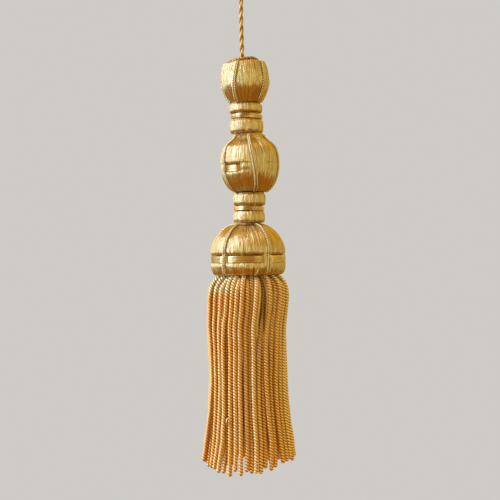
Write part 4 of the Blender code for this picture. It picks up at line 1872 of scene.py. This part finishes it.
    def strands(self) -> list[Strand]:
        """Every strand, the front ones first, then the rest of the outer row, then the inner rows.

        Returns:
            The strands.
        """
        spots, ends = self.plan()
        freedom = np.where(np.arange(len(spots)) < len(FRONT_STRANDS), 0.25, 1.0)
        spots = self.settle(spots, freedom, self.reach(self.levels) + 0.6 * MM)
        rng = np.random.default_rng(self.seed + 1)
        drift = self.drift(self.levels)
        made = []
        for spot, end in zip(spots, ends):
            drops = np.append(self.levels[self.levels < end - 2 * MM], end)
            x = np.interp(drops, self.levels, spot[:, 0] + drift)
            y = np.interp(drops, self.levels, spot[:, 1])
            tone = self.tone(x, y, drops, rng)
            thick = rng.uniform(0.96, 1.04)
            line = np.column_stack((x, y, STACK_TOP_Z - drops))
            made.append(Strand(line, thickness=thick, phase=rng.uniform(0, TURN), tone=tone))
        return made

    def tone(self, x: np.ndarray, y: np.ndarray, drops: np.ndarray, rng: np.random.Generator) -> np.ndarray:
        """How pale a strand is along its line: less so at the left and more so at the right, by painted shade
        and painted light, and paler still at its top at the left, by a painted highlight.

        Args:
            x, y, drops: places of its points.
            rng: where its own tone is drawn from.

        Returns:
            The tone at each point.
        """
        start, length = self.even_drops
        low = np.clip((drops - start) / length, 0, 1)
        aside = x / self.header_radius
        # Painted shade to the left and painted light to the right, weaker lower down.
        gain = np.where(x > 0, self.right_painted_light, self.left_painted_shade) * (1 - 0.6 * low)
        usual = self.usual_tone + gain * np.clip(aside, -1, 1)
        # Painted highlight: paler tops in front at the left.
        sheen = np.clip(-aside, 0, 1) * np.clip((self.pale_end - drops) / (3 * MM), 0, 1)
        sheen = self.painted_sheen_gain * sheen * np.clip(0.6 - y / (8 * MM), 0, 1)
        return np.clip(usual + 0.16 * rng.normal(), 0, 1) + sheen

    def snag(self, strands: list[Strand]) -> Strand:
        """The ply that has been pulled out of one of the strands into a small loop.

        Args:
            strands: the skirt's.

        Returns:
            The loop, as a strand.
        """
        across, _, drop = self.charted(*self.snag_spot, 0.0)
        x, z = across + float(self.drift(drop)), STACK_TOP_Z - drop
        lines = [strand.points[::-1].T for strand in strands[: len(FRONT_STRANDS)]]
        spots = np.array([(np.interp(z, line[2], line[0]), np.interp(z, line[2], line[1])) for line in lines])
        near = spots[abs(spots[:, 0] - x) < self.make.diameter]
        root = near[:, 1].min()
        face = root - self.make.diameter / 2 - 0.1 * MM
        angles = np.linspace(-0.5 * math.pi, 1.5 * math.pi, 33)
        up = np.sin(angles)
        depth = root + (face - root) * np.clip(2.0 * (up + 1.0), 0.0, 1.0)
        width, height = self.snag_size
        line = np.column_stack((x + width * np.cos(angles), depth, z + height * up))
        return Strand(respaced(line, 0.3 * MM), thickness=2.2, tone=1.0)

    def build(self) -> list[Strand]:
        """Hang the skirt, front, back, inner rows and header, and return the strands.

        Returns:
            The strands.
        """
        strands = self.strands()
        middle = self.outer // 2
        parts = (
            ("bullion_front", strands[:middle], self.make),
            ("bullion_back", strands[middle : self.outer], replace(self.make, sides=10)),
            ("bullion_inner", strands[self.outer :], replace(self.make, rings=5.0, sides=6)),
        )
        for name, members, make in parts:
            add_piece(name, make.lay(members), ("bullion_skirt",))
        radius = self.header_radius
        header = Mould("skirt_header", *self.header_drops, radius, radius - 1.0 * MM, 1.1 * MM, threads=60)
        mesh = header.turned_mesh(header.outline(), 1.2 * MM)
        add_piece("skirt_header_roll", mesh, ("bullion_skirt",), header.placement())
        return strands


# --- the tassel


def in_mm(*sizes: float) -> tuple[float, ...]:
    """Sizes given in millimetres."""
    return tuple(size * MM for size in sizes)


BALL_BARE = ((-55.0, -20.0), (92.0, 118.0), (162.0, 178.0), (-178.0, -164.0), (-122.0, -86.0))
BALL_CREASED = ((-75.0, -2.0), (36.0, 64.0), (88.0, 185.0), (-185.0, -80.0))
DOME_BARE = ((-79.0, -42.0), (-34.0, 24.0), (40.0, 70.0), (112.0, 138.0), (-176.0, -130.0), (-106.0, -82.0))

BULB = Bulb("bulb_mould", *in_mm(0.8, 30.1, 16.1, 11.0, 1.9), -2.5, threads=130, seed=1.0)
BALL = Mould(
    "ball_mould",
    *in_mm(50.6, 89.1, 19.3, 8.0, 2.9),
    threads=150,
    neck=9.2 * MM,
    hollow=in_mm(54.0, 2.8, 3.3),
    belt=Belt("ball_belt", *in_mm(71.6, 75.3, 18.6, 17.1), BALL_BARE, BALL_CREASED),
    seed=2.0,
)
DOME = Dome(
    "dome_mould",
    *in_mm(109.2, 143.1, 24.9, 5.0, 1.1),
    squareness=1.78,
    threads=180,
    group_depth=0.42 * MM,
    neck=8.9 * MM,
    belt=Belt("dome_belt", *in_mm(130.3, 134.2, 24.5, 23.3), DOME_BARE),
    seed=3.0,
)
COLLAR = {"squareness": 3.0, "row_step": 0.65 * MM, "group_depth": 0.26 * MM}
COLLARS = (
    Mould("upper_collar_a", *in_mm(30.6, 37.1, 11.1, 9.4, 1.3), **COLLAR, seed=4.0),
    Mould("upper_collar_b", *in_mm(41.3, 50.3, 11.3, 9.6, 1.6), **COLLAR, seed=5.0),
    Mould("lower_collar_a", *in_mm(89.4, 97.6, 10.9, 9.4, 2.7), **COLLAR, seed=6.0),
    Mould("lower_collar_b", *in_mm(101.6, 108.9, 10.7, 9.3, 2.2), **COLLAR, seed=7.0),
)
TIES = (
    Tie("upper_tie", *in_mm(37.4, 41.0, 10.3, 9.8, 1.8), squareness=4.0, threads=40, seed=8.0),
    Tie("lower_tie", *in_mm(97.9, 101.3, 10.0, 9.6, 2.4), squareness=4.0, threads=40, seed=9.0),
)
BULB_RUNS = ((-27.0, -19.0), (50.0, -6.0), (115.0, 3.0), (184.0, -5.0), (253.0, 4.0))
BALL_RUNS = ((-58.5, -2.0), (8.5, 19.0), (82.0, 12.0), (154.0, 14.0), (226.0, 6.0))
DOME_RUNS = ((-38.0, -4.0), (34.0, -4.0), (106.0, -4.0), (178.0, -4.0), (250.0, -4.0))
GIMPS = (
    Gimp("bulb_gimp", BULB, BULB_RUNS, *in_mm(3.6, 29.8)),
    Gimp("ball_gimp", BALL, BALL_RUNS, *in_mm(50.9, 88.8)),
    Gimp("dome_gimp", DOME, DOME_RUNS, *in_mm(109.6, 142.6)),
)
STRAYS = (
    (BALL, (((258.5, 140.5), (262.0, 146.5), (264.0, 154.0)),)),
    (COLLARS[2], (((252.3, 193.0), (252.0, 198.0), (250.2, 201.5)),)),
    (TIES[1], (((253.5, 203.2), (256.0, 206.5), (256.6, 209.5)),)),
    (
        DOME,
        (
            ((251.5, 225.0), (255.5, 231.5), (258.2, 239.0), (259.6, 246.5)),
            ((249.0, 228.5), (252.2, 235.5), (254.0, 243.5)),
            ((258.6, 268.6), (257.4, 272.2), (254.6, 275.0)),
            ((274.4, 268.2), (273.4, 271.6), (270.8, 274.6)),
        ),
    ),
)


def main() -> None:
    """Build the studio and then the tassel from the top down."""
    logging.basicConfig(level=logging.INFO, format="%(message)s")
    studio = Studio()
    studio.build_camera()
    HangingCord().build()
    studio.build_lights()
    studio.build_floor()
    CrownRing().build(BULB)
    for mould in (BULB, BALL, DOME, *COLLARS, *TIES):
        mould.build()
    for gimp in GIMPS:
        gimp.build()
    skirt = Skirt()
    strands = skirt.build()
    StrayThreads(STRAYS).build([skirt.snag(strands)])


if __name__ == "__main__":
    main()
